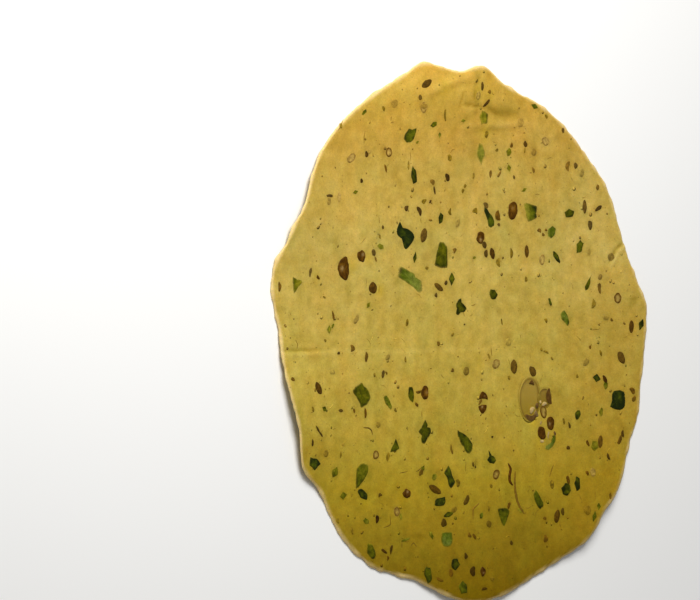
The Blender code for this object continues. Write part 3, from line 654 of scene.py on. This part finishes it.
def make_dough(toppings, material):
    """The sheet itself: a fine grid, thickened, carried to the rim's outline and bent into its waves."""
    holder = add_object("plain_sheet", grid_mesh("plain_sheet", SHEET_CELLS, 1.0))
    thicken = holder.modifiers.new("Thickness", "SOLIDIFY")
    thicken.thickness = SLAB
    thicken.offset = 1.0
    made = bpy.data.meshes.new_from_object(holder.evaluated_get(bpy.context.evaluated_depsgraph_get()))
    square = np.zeros(len(made.vertices) * 3)
    made.vertices.foreach_get("co", square)
    square = square.reshape(-1, 3)
    faces = [tuple(face.vertices) for face in made.polygons]
    bpy.data.objects.remove(holder)

    angle, share = square_to_disc(square[:, 0], square[:, 1])
    turn = np.radians(angle)
    ragged = field(NIBBLE_CIRCLE * np.cos(turn), NIBBLE_CIRCLE * np.sin(turn), NIBBLES)
    reach = share * rim_reach(angle) + ragged * share**30
    x = reach * np.cos(turn)
    y = reach * np.sin(turn)
    upper = square[:, 2] > SLAB / 2.0
    on_rim = share > 1.0 - 1e-5

    top = upper_face(x, y) + field(x, y, DIMPLES)
    sunk = [smoothstep(1.13, 0.97, lobe_share(x, y, lobe)) for lobe in BUBBLE_LOBES]
    top -= BUBBLE_RECESS * np.maximum(*sunk)
    z = np.where(upper, top, underside(x, y))
    z = np.where(on_rim, z + np.where(upper, -RIM_ROUNDING, 0.6 * RIM_ROUNDING), z)

    tones = dough_colour_and_painted_light(x, y)
    rng = random.Random(SCATTER_SEED + 5)
    for _ in range(BURIED_BITS):
        turn = rng.uniform(-math.pi, math.pi)
        reach = math.sqrt(rng.random()) * BURIED_REACH
        middle = (reach * math.cos(turn), reach * math.sin(turn))
        radius = rng.uniform(0.6, 2.2)
        near = np.hypot(x - middle[0], y - middle[1]) < 3.0 * radius
        shares = bell(x[near], y[near], *middle, radius, rng.uniform(0.6, 1.3))
        body = FLAKE_TONES[1] if rng.random() < 0.4 else SEED_RIDGE
        tones[near] = mix(tones[near], body, rng.uniform(0.06, 0.22) * shares)
    for spot, body in toppings:
        near = np.hypot(x - spot[0], y - spot[1]) < spot[2] / 2.0 + 3.0 * HALO_WIDTH
        shares = HALO * halo_share(x[near], y[near], spot) * np.where(upper[near], 1.0, 0.75)
        tones[near] = mix(tones[near], body, shares)
    finish_mesh("dough_sheet", np.stack((x, y, z), 1), faces, tones, material)


class Batch:
    """Vertices, faces and colours of many small closed things that end up as one piece."""

    def __init__(self):
        self.verts = []
        self.faces = []
        self.tones = []

    def add_lathe(self, rings, tones):
        """A closed shape of rings of points, each an (n, 3) array; the first and last shrink to a point."""
        base = len(self.verts)
        count = len(rings[1])
        starts = []
        for ring, tone in zip(rings, tones):
            starts.append(len(self.verts))
            self.verts.extend(ring.tolist())
            self.tones.extend(tone.tolist())
        for i in range(count):
            j = (i + 1) % count
            self.faces.append((base, starts[1] + i, starts[1] + j))
            for a, b in zip(starts[1:-2], starts[2:-1]):
                self.faces.append((a + i, b + i, b + j, a + j))
            self.faces.append((starts[-2] + j, starts[-2] + i, starts[-1]))

    def finish(self, name, material, slot):
        finish_mesh(name, self.verts, self.faces, self.tones, material)


def turned(points, turn):
    """Points turned by an angle in degrees."""
    cos, sin = math.cos(math.radians(turn)), math.sin(math.radians(turn))
    x, y = points.T
    return np.stack((x * cos - y * sin, x * sin + y * cos), 1)


def raised(rings, rise):
    """Rings with their heights times a rise, and the lowest ones tucked into the face."""
    return [(share, height * rise if height > 0.0 else -TUCK) for share, height in rings]


def add_inlay(batch, spot, outline, rings, tone_at, veil=0.0):
    """A thing rolled into the sheet: a closed plate that stands a little proud and also shows below.

    rings holds (share of the outline, height) from the middle outwards; tone_at gives the colour of
    the points of a ring from its share and its points before turning.
    """
    x, y, _, _, turn = spot
    shapes = []
    tones = []

    def add_ring(share, face, height, cover, roughness=()):
        local = outline * share if share > 0.0 else np.zeros((1, 2))
        px, py = (turned(local, turn) + (x, y)).T
        shapes.append(np.stack((px, py, face(px, py) + height * (1.0 + field(px, py, roughness))), 1))
        tones.append(mix(tone_at(share, local), dough_colour_and_painted_light(px, py), np.full(len(px), cover)))

    for share, height in rings:
        border = smoothstep(0.95 - 0.3 * veil, 1.03, share) * (0.5 + 0.4 * veil)
        add_ring(share, upper_face, height, border, INLAY_ROUGHNESS if height > 0.0 else ())
    for share, depth in BACK_RINGS:
        cover = min(1.0, 0.45 + 0.4 * veil + 0.4 * smoothstep(0.6, 0.97, share))
        add_ring(share, underside, depth, cover)
    batch.add_lathe(shapes, tones)


def lumpy(outline, amount, rng):
    """An outline that swells and shrinks in a few uneven waves round its middle."""
    angle = np.arctan2(outline[:, 1], outline[:, 0])
    wave = np.zeros(len(angle))
    for turns in (2, 3, 4, 5, 7):
        strength = rng.uniform(-1.0, 1.0) / math.sqrt(turns - 1)
        wave += strength * np.sin(turns * angle + rng.uniform(0.0, math.tau))
    return outline * (1.0 + amount * wave)[:, None]


def bent(outline, bend):
    """An outline whose ends are bent down, or up for a negative bend, by so many millimetres."""
    x, y = outline.T
    return np.stack((x, y - bend * ((x / np.abs(x).max()) ** 2 - 0.35)), 1)


def broken_outline(length, width, rng):
    """The outline of a crushed bit: a few uneven corners on a bent oval, softened once."""
    corners = rng.choice((5, 6, 7))
    points = []
    for k in range(corners):
        angle = math.tau * (k + rng.uniform(-0.28, 0.28)) / corners
        reach = rng.uniform(0.56, 0.76)
        points.append((length * reach * math.cos(angle), width * reach * math.sin(angle)))
    points = np.array(points)
    after = np.roll(points, -1, axis=0)
    soft = np.stack([mix(points, after, share) for share in (0.2, 0.5, 0.8)], 1)
    return bent(soft.reshape(-1, 2), rng.uniform(-0.45, 0.45) * width)


def solid_corners(length, width, corners, reaches):
    """The corners of the solid's flake, counterclockwise."""
    points = []
    for k in range(corners):
        angle = math.tau * (0.25 + k / corners)
        turns = math.atan2(math.sin(angle), math.cos(angle)) / math.tau
        reach = 0.5 * reaches[math.floor(turns * corners + 0.25) % corners]
        points.append((length * reach * math.cos(angle), width * reach * math.sin(angle)))
    return points


def torn_outline(points, raggedness, rng):
    """A closed outline through corners, with sides cut finer and bowed unevenly, and the corners softened."""
    points = np.array(points, float)
    fine = []
    for start, end in zip(points, np.roll(points, -1, axis=0)):
        bow = rng.uniform(-raggedness, raggedness)
        for share in (0.0, 0.14, 0.38, 0.62, 0.86):
            out = 1.0 + 4.0 * bow * share * (1.0 - share) + rng.uniform(-0.3, 0.3) * raggedness
            fine.append(mix(start, end, share) * out)
    fine = np.array(fine)
    fine[::5] *= CORNER_SOFTENING
    return fine * FLAKE_SIZE


def oval_outline(length, width, count, point=1.0):
    """An oval; point above 1 draws its ends out like a seed's."""
    angle = np.arange(count) * math.tau / count
    across = np.sign(np.sin(angle)) * np.abs(np.sin(angle)) ** point
    return np.stack((length / 2.0 * np.cos(angle), width / 2.0 * across), 1)


def flake_tone(veil, blue):
    """Colours of a flake: nearly black green where it is bare, pale olive where the dough veils it."""
    body = np.stack([np.interp(veil, (0.0, 0.5, 1.0), FLAKE_TONES[:, k]) for k in range(3)], 1)
    return mix(body, body * BLUE_SHIFT, blue)


def add_flake(batch, spot, corners, veil, rng, drawn=None):
    """A chilli flake, mottled, and darker towards one side."""
    if drawn is None:
        side = rng.uniform(0.0, math.tau)
        contrast = rng.uniform(0.05, 0.3)
        blue = rng.uniform(0.0, 0.7) ** 2
        outline = torn_outline(corners, 0.13, rng)
    else:
        side = math.radians(drawn[0])
        contrast, blue = drawn[1:3]
        outline = torn_outline(drawn[3][::-1], 0.05, rng)
        spot = spot[:4] + (0.0,)
    reach = np.abs(outline).max()

    def tone_at(share, local):
        lean = (local[:, 0] * math.cos(side) + local[:, 1] * math.sin(side)) / reach
        edge = 0.06 - 0.3 * share**3
        own = veil - contrast * lean + mottle(local, spot, FLAKE_MOTTLE) + edge
        return flake_tone(np.clip(own, 0.0, 1.0), blue)

    add_inlay(batch, spot, outline, raised(FLAKE_RINGS, FLAKE_RISE * (1.0 - 0.6 * veil)), tone_at, veil)
    return spot, flake_tone(np.array((veil,)), blue)[0]


def add_seed(batch, spot, veil, rng):
    """A cumin seed: drawn-out ends and ridges along its length."""
    outline = lumpy(oval_outline(1.06 * spot[2], 1.3 * spot[3], 20, 1.15), 0.05, rng)
    strength = rng.uniform(0.7, 1.15)
    dough = at_point(dough_colour_and_painted_light, *spot[:2])

    def tone_at(share, local):
        stripes = 0.5 + 0.5 * np.cos(local[:, 1] / spot[3] * math.tau * 2.5)
        ridge = stripes * (0.1 + 0.25 * (1.0 - share)) + mottle(local, spot, SEED_MOTTLE)
        return mix(mix(SEED_TONE, SEED_RIDGE, np.clip(ridge, 0.0, 1.0)) * strength, dough, veil)

    add_inlay(batch, spot, outline, raised(SEED_RINGS, SEED_RISE * min(spot[3], 2.0) / 2.0), tone_at, veil)
    return spot, mix(SEED_TONE, SEED_RIDGE, 0.4)


def add_pepper(batch, spot, core, bend, rng):
    """A crushed peppercorn: dark wrinkled skin, broken open to a paler core on one side, with a painted cream
    highlight in the core.
    """
    outline = bent(lumpy(oval_outline(1.06 * spot[2], 1.12 * spot[3], 24), 0.11, rng), bend)
    side = rng.uniform(0.0, math.tau)
    shift = np.array((math.cos(side), math.sin(side))) * 0.2 * spot[3]

    def tone_at(share, local):
        away = np.hypot(*(local - shift).T) / (0.5 * spot[3])
        inner = core * smoothstep(1.1, 0.2, away) + mottle(local, spot, PEPPER_MOTTLE) + 0.12
        skin = mix(PEPPER_EDGE, PEPPER_CORE, np.clip(inner, 0.0, 1.0))
        # Cream fleck in the core: a painted highlight
        return mix(skin, CREAM_TONE, PEPPER_HIGHLIGHT_FLECK * core * (1.0 - core) * smoothstep(0.5, 0.1, away))

    add_inlay(batch, spot, outline, raised(PEPPER_RINGS, PEPPER_RISE), tone_at)
    return spot, PEPPER_EDGE


def add_bit(batch, spot, body, rng):
    """A crushed bit of spice, uneven in outline and tone."""
    outline = broken_outline(spot[2], spot[3], rng)
    strength = rng.uniform(0.7, 1.15)
    veil = rng.uniform(0.0, 0.2)
    dough = at_point(dough_colour_and_painted_light, *spot[:2])

    def tone_at(share, local):
        patches = 1.0 + mottle(local, spot, BIT_MOTTLE)
        return mix(body * (strength * patches)[:, None], dough, veil)

    add_inlay(batch, spot, outline, raised(BIT_RINGS, BIT_RISE), tone_at, veil)
    return spot, body


def add_chilli_seed(batch, spot, dark, rng):
    """A flat chilli seed: pale, with a brown edge."""
    outline = lumpy(oval_outline(spot[2], spot[3], 20), 0.06, rng)
    body = mix(CHILLI_SEED_TONE, at_point(dough_colour_and_painted_light, *spot[:2]), 0.5)

    def tone_at(share, local):
        edge = 0.9 * dark * (smoothstep(0.3, 0.75, share) - 0.2 * smoothstep(0.84, 1.0, share))
        broken = mottle(local, spot, CHILLI_SEED_MOTTLE)
        return mix(body, CHILLI_SEED_EDGE, np.clip(edge + broken, 0.0, 1.0))

    add_inlay(batch, spot, outline, raised(CHILLI_SEED_RINGS, CHILLI_SEED_RISE), tone_at)
    return spot, mix(CHILLI_SEED_TONE, CHILLI_SEED_EDGE, 0.5)


def random_place(margin, rng):
    """A place anywhere on the sheet that keeps a margin from the rim."""
    angle = rng.uniform(-180.0, 180.0)
    reach = math.sqrt(rng.random()) * (smooth_rim(angle) - margin)
    return reach * math.cos(math.radians(angle)), reach * math.sin(math.radians(angle))


def spread(count, longest, taken, rng):
    """Free spots on the sheet for small pieces: (x, y, length, width, turn), clear of the ones taken."""
    spots = []
    for _ in range(TRIES * count):
        if len(spots) == count:
            break
        x, y = random_place(RIM_MARGIN, rng)
        length = longest * rng.uniform(0.65, 1.0)
        width = length * rng.uniform(0.45, 0.8)
        turn = rng.uniform(0.0, 180.0)
        if all(math.hypot(x - t[0], y - t[1]) > (length + t[2]) / 2.0 + CLEARANCE for t in taken):
            spots.append((x, y, length, width, turn))
            taken.append(spots[-1])
    return spots


def make_toppings(materials):
    """Every flake, seed and peppercorn piece; returns what each one tints the dough with."""
    rng = random.Random(SCATTER_SEED)
    bubble = [(x, y, height, width, 90.0) for x, y, width, height in BUBBLE_LOBES]
    taken = [spot[:5] for spot in LARGE_FLAKES + PEPPER_PIECES + SEEDS] + bubble
    small_flakes = spread(SMALL_FLAKES, LONGEST_SMALL_FLAKE, taken, rng)
    small_seeds = spread(SMALL_SEEDS, LONGEST_SMALL_SEED, taken, rng)
    flakes = [(flake[:5], flake[5], flake[6]) for flake in LARGE_FLAKES]
    flakes += [(spot, 4 + i % 2, None) for i, spot in enumerate(small_flakes)]
    shapes = [[rng.uniform(0.88, 1.12) for _ in range(corners)] for _, corners, _ in flakes]

    looks = random.Random(SCATTER_SEED + 1)
    green, seeds, pepper, crumbs, pale = (Batch() for _ in range(5))
    tints = []
    for number, ((spot, corners, veil), reaches) in enumerate(zip(flakes, shapes)):
        if veil is None:
            veil = looks.uniform(0.4, 0.85)
        points = solid_corners(spot[2], spot[3], corners, reaches)
        tints.append(add_flake(green, spot, points, veil, looks, OUTLINES.get(number)))
    for *spot, veil in FINE_FLAKES:
        corners = looks.choice((4, 5, 6))
        points = solid_corners(*spot[2:4], corners, [looks.uniform(0.85, 1.4) for _ in range(corners)])
        tints.append(add_flake(green, spot, points, veil, looks))
    for spots, veils in ((SEEDS, (0.0, 0.12)), (small_seeds, (0.3, 0.75))):
        tints += [add_seed(seeds, spot, looks.uniform(*veils), looks) for spot in spots]
    for *spot, core, bend in PEPPER_PIECES:
        if core is not None:
            tints.append(add_pepper(pepper, spot, core, bend, looks))
    for body, bits in zip(BIT_TONES, (DARK_BITS, BROWN_BITS, OLIVE_BITS)):
        tints += [add_bit(crumbs, spot, body, looks) for spot in bits]
    tints += [add_chilli_seed(pale, spot, dark, looks) for *spot, dark in CHILLI_SEEDS]

    green.finish("chilli_flakes", materials["chilli"], "chilli")
    seeds.finish("cumin_seeds", materials["spice"], "spice")
    pepper.finish("pepper_pieces", materials["spice"], "spice")
    crumbs.finish("spice_crumbs", materials["spice"], "spice")
    pale.finish("chilli_seeds", materials["spice"], "spice")
    return tints


def make_specks(materials):
    """Fine brown, black and green crumbs of spice over both faces, half sunk in them."""
    rng = random.Random(SCATTER_SEED + 2)
    batch = Batch()
    kinds = (SEED_TONE, SEED_RIDGE, PEPPER_EDGE, FLAKE_TONES[1], SEED_RIDGE)
    for i in range(TOP_SPECKS + UNDER_SPECKS):
        x, y = random_place(SPECK_MARGIN, rng)
        length = 0.55 + 1.3 * rng.random() ** 2.5
        tone = mix(kinds[i % len(kinds)], at_point(dough_colour_and_painted_light, x, y), rng.uniform(0.25, 0.9))
        level = at_point(upper_face, x, y) if i < TOP_SPECKS else at_point(underside, x, y) + SPECK_LIFT
        width = length * rng.uniform(0.45, 1.0)
        outline = turned(oval_outline(length, width, SPECK_SIDES), rng.uniform(0.0, 180.0)) + (x, y)
        ring = np.column_stack((outline, np.full(SPECK_SIDES, level)))
        over, under = (np.array(((x, y, level + rise),)) for rise in (SPECK_RISE, -SPECK_RISE))
        batch.add_lathe((over, ring, under), (tone[None], np.tile(1.25 * tone, (SPECK_SIDES, 1)), tone[None]))
    batch.finish("fine_specks", materials["spice"], "spice")


def add_thread(batch, route, radius, tone):
    """A thin stalk thread that lies along a route on the upper face, with fine ends and one side painted
    lighter as a highlight.
    """
    route = np.array(route, float)
    steps = np.linspace(0.0, len(route) - 1.0, 7 * len(route))
    path = np.stack([np.interp(steps, np.arange(len(route)), route[:, k]) for k in (0, 1)], 1)
    for _ in range(4):
        path[1:-1] = 0.25 * path[:-2] + 0.5 * path[1:-1] + 0.25 * path[2:]
    heading = np.gradient(path, axis=0)
    heading /= np.linalg.norm(heading, axis=1)[:, None]
    spine = np.column_stack((path, upper_face(*path.T)))
    sides = np.arange(THREAD_SIDES) * math.tau / THREAD_SIDES
    rings = [spine[:1]]
    for i in range(1, len(path) - 1):
        thick = radius * math.sin(math.pi * i / (len(path) - 1)) ** 0.4
        across = np.array((-heading[i, 1], heading[i, 0], 0.0))
        upward = np.array((0.0, 0.0, 0.55))
        rings.append(spine[i] + thick * (np.cos(sides)[:, None] * across + np.sin(sides)[:, None] * upward))
    rings.append(spine[-1:])
    # One side of each ring is painted lighter: a painted highlight
    tones_with_highlight = tone * (1.0 + 0.8 * (np.cos(sides) < -0.4))[:, None]
    batch.add_lathe(rings, [tone[None]] + [tones_with_highlight] * (len(path) - 2) + [tone[None]])


def make_threads(materials):
    """The stalk threads that the sheet shows, and short fibres by a seeded rule."""
    rng = random.Random(SCATTER_SEED + 3)
    batch = Batch()
    for number, (route, radius) in enumerate(THREADS):
        tone = THREAD_TONE * rng.uniform(0.8, 1.3)
        add_thread(batch, route, radius, PEPPER_EDGE if number == 0 else tone)
    for _ in range(STREAKS):
        x, y = random_place(RIM_MARGIN, rng)
        turn = rng.uniform(0.0, math.tau)
        span = rng.uniform(0.6, 1.9)
        bend = rng.uniform(-0.4, 0.4)
        route = [
            (x + span * t * math.cos(turn + bend * t), y + span * t * math.sin(turn + bend * t))
            for t in (-1.0, 0.0, 1.0)
        ]
        tone = mix(THREAD_TONE, at_point(dough_colour_and_painted_light, x, y), rng.uniform(0.2, 0.8))
        add_thread(batch, route, rng.uniform(0.09, 0.18), tone)
    batch.finish("stalk_threads", materials["spice"], "spice")


def make_bubble(materials):
    """The burst bubble: its smooth lower skin sunk in the sheet, coloured partly with painted shade of the
    recess, inside a thin brown lip, and crumbs.
    """
    rng = random.Random(SCATTER_SEED + 4)
    batch = Batch()
    for number, (x, y, width, height) in enumerate(BUBBLE_LOBES):
        outline = lumpy(oval_outline(width, height, 40), 0.02, rng)

        def tone_at(share, local):
            # The skin is darker than the dough and darker towards its low side: partly painted shade in the
            # recess
            slope = smoothstep(-height / 2.0, height / 2.0, local[:, 1])
            floor = mix(mix(LOWER_BUBBLE_SKIN_AND_SHADE, UPPER_BUBBLE_SKIN_AND_SHADE, slope), BUBBLE_LIP, 0.35 * number)
            lip = smoothstep(0.83, 0.97, share) * (1.0 - smoothstep(1.0, 1.1, share))
            side = 0.65 + 0.3 * np.cos(np.arctan2(local[:, 1], local[:, 0]) + 0.9)
            return mix(floor, BUBBLE_LIP, lip * side)

        add_inlay(batch, (x, y, width, height, 0.0), outline, BUBBLE_RINGS, tone_at)
    rings = [(share, height * 0.2 - 0.04) for share, height in SEED_RINGS]
    for *spot, bend, cream in BUBBLE_CRUMBS:
        outline = bent(lumpy(oval_outline(*spot[2:4], 16), 0.1, rng), bend)
        crumb = mix(BIT_TONES[0] * 1.9, CREAM_TONE, cream)

        def crumb_at(share, local):
            return crumb * (1.0 + mottle(local, spot, CRUMB_MOTTLE))[:, None]

        add_inlay(batch, spot, outline, rings, crumb_at, 0.2)
    add_chilli_seed(batch, BUBBLE_RING, 1.3, rng)
    batch.finish("burst_bubble", materials["skin"], "dough")


def add_node(tree, kind, operation=None, **inputs):
    """A shader node; each of its inputs is set to a value or fed by another node's output."""
    node = tree.nodes.new(kind)
    if operation:
        node.operation = operation
    for name, value in inputs.items():
        socket = node.inputs[name.replace("_", " ")]
        if isinstance(value, bpy.types.NodeSocket):
            tree.links.new(value, socket)
        else:
            socket.default_value = value
    return node


def ranged(tree, value, low, high, at_low, at_high):
    """Carries the range from low to high to another one, and keeps the value in it."""
    ends = {"From_Min": low, "From_Max": high, "To_Min": at_low, "To_Max": at_high}
    return add_node(tree, "ShaderNodeMapRange", Value=value, **ends).outputs["Result"]


def freckled(tree, place, colour):
    """The colour with faint brown freckles of spice dust, too fine for specks of their own."""
    for scale, size, rare, strength in FRECKLES:
        cells = add_node(tree, "ShaderNodeTexVoronoi", Vector=place, Scale=scale)
        split = add_node(tree, "ShaderNodeSeparateColor", Color=cells.outputs["Color"])
        share = add_node(tree, "ShaderNodeMath", "MULTIPLY")
        dot = ranged(tree, cells.outputs["Distance"], size, size * 0.4, 0.0, strength)
        tree.links.new(dot, share.inputs[0])
        tree.links.new(ranged(tree, split.outputs["Red"], rare, rare + 0.2, 0.0, 1.0), share.inputs[1])
        blend = tree.nodes.new("ShaderNodeMix")
        blend.data_type = "RGBA"
        blend.inputs["B"].default_value = FRECKLE_TONE
        tree.links.new(share.outputs["Value"], blend.inputs["Factor"])
        tree.links.new(colour, blend.inputs["A"])
        colour = blend.outputs["Result"]
    return colour


def tinted_material(name, grain, roughness, bump, scatter, dusted=False):
    """A matte food surface: the piece's own tint, broken up by grain, with a fine uneven skin.

    grain holds (noise scale per metre, detail, how much it lightens and darkens) from coarse to fine,
    and bump (noise scale per metre, height in metres); a dusted surface has freckles.
    """
    material = bpy.data.materials.new(name)
    material.use_nodes = True
    tree = material.node_tree
    shader = tree.nodes["Principled BSDF"]
    tint = add_node(tree, "ShaderNodeAttribute")
    tint.attribute_name = "tint"
    place = add_node(tree, "ShaderNodeTexCoord").outputs["Object"]
    colour = tint.outputs["Color"]
    for scale, detail, light in grain:
        cloud = add_node(tree, "ShaderNodeTexNoise", Vector=place, Scale=scale, Detail=detail, Roughness=0.55)
        shade = ranged(tree, cloud.outputs["Fac"], 0.3, 0.7, 1.0 - light, 1.0 + light)
        times = add_node(tree, "ShaderNodeVectorMath", "SCALE", Vector=colour, Scale=shade)
        colour = times.outputs["Vector"]
    if dusted:
        colour = freckled(tree, place, colour)
    tree.links.new(colour, shader.inputs["Base Color"])

    gloss = add_node(tree, "ShaderNodeTexNoise", Vector=place, Scale=260.0, Detail=3.0)
    matt = ranged(tree, gloss.outputs["Fac"], 0.3, 0.7, roughness - 0.08, roughness + 0.08)
    tree.links.new(matt, shader.inputs["Roughness"])

    relief = {}
    for scale, height in bump:
        skin = add_node(tree, "ShaderNodeTexNoise", Vector=place, Scale=scale, Detail=4.0).outputs["Fac"]
        step = add_node(tree, "ShaderNodeBump", Height=skin, Strength=1.0, Distance=height, **relief)
        relief = {"Normal": step.outputs["Normal"]}
    tree.links.new(relief["Normal"], shader.inputs["Normal"])

    shader.inputs["Subsurface Weight"].default_value = scatter
    shader.inputs["Subsurface Radius"].default_value = (1.0, 0.55, 0.12)
    shader.inputs["Subsurface Scale"].default_value = 0.0012
    shader.inputs["Specular IOR Level"].default_value = 0.05
    return material


def make_floor():
    """A plain pale floor, just under the sheet."""
    floor = add_object("floor", grid_mesh("floor", 1, FLOOR_HALF_M))
    floor.location.z = -FLOOR_GAP * MM
    material = bpy.data.materials.new("pale_floor")
    material.use_nodes = True
    shader = material.node_tree.nodes["Principled BSDF"]
    shader.inputs["Base Color"].default_value = (0.93, 0.93, 0.92, 1.0)
    shader.inputs["Roughness"].default_value = 0.9
    floor.data.materials.append(material)


def make_light():
    """Soft window light from beyond the top left of the view, and an even fill."""
    window = bpy.data.lights.new("window", "AREA")
    window.size = WINDOW_SIZE_M
    window.energy = WINDOW_POWER
    window.color = (1.0, 0.99, 0.97)
    light = add_object("window", window)
    light.location = WINDOW_PLACE_M
    light.rotation_euler = (-Vector(WINDOW_PLACE_M)).to_track_quat("-Z", "Y").to_euler()
    world = bpy.data.worlds.new("studio")
    world.use_nodes = True
    world.node_tree.nodes["Background"].inputs["Color"].default_value = (1.0, 1.0, 1.0, 1.0)
    world.node_tree.nodes["Background"].inputs["Strength"].default_value = FILL_STRENGTH
    bpy.context.scene.world = world
    bpy.context.scene.view_settings.view_transform = "Standard"


def make_camera():
    """Seen from the -X side and turned so that +Y is up, which shows the round sheet as the tall oval."""
    elevation = math.radians(VIEW_ELEVATION)
    forward = Vector((math.cos(elevation), 0.0, -math.sin(elevation)))
    upward = Vector((0.0, 1.0, 0.0))
    right = forward.cross(upward)
    across_px = PHOTO_MIDDLE_PX[0] - SHEET_MIDDLE_PX[0]
    down_px = PHOTO_MIDDLE_PX[1] - SHEET_MIDDLE_PX[1]
    aim = Vector((across_px / (PX_PER_MM * math.sin(elevation)), -down_px / PX_PER_MM, THICKNESS))
    aim -= Vector(sheet_middle())
    data = bpy.data.cameras.new("camera")
    data.sensor_width = SENSOR_WIDTH_MM
    data.lens = SENSOR_WIDTH_MM * CAMERA_DISTANCE * PX_PER_MM / PHOTO_WIDTH_PX
    data.clip_end = CLIP_END_M
    camera = add_object("camera", data)
    turn = Matrix((right, upward, -forward)).transposed().to_4x4()
    camera.matrix_world = Matrix.Translation((aim - forward * CAMERA_DISTANCE) * MM) @ turn
    bpy.context.scene.camera = camera


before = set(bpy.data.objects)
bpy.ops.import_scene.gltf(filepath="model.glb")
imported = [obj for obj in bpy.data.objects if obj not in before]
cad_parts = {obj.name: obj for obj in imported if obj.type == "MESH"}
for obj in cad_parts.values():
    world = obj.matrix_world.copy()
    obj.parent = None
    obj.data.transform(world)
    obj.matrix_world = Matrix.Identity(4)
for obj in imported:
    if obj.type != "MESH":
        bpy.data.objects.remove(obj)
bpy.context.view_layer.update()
make_camera()
materials = {kind: tinted_material(**looks) for kind, looks in MATERIALS.items()}
tints = make_toppings(materials)
make_dough(tints, materials["dough"])
make_bubble(materials)
make_specks(materials)
make_threads(materials)
make_floor()
make_light()
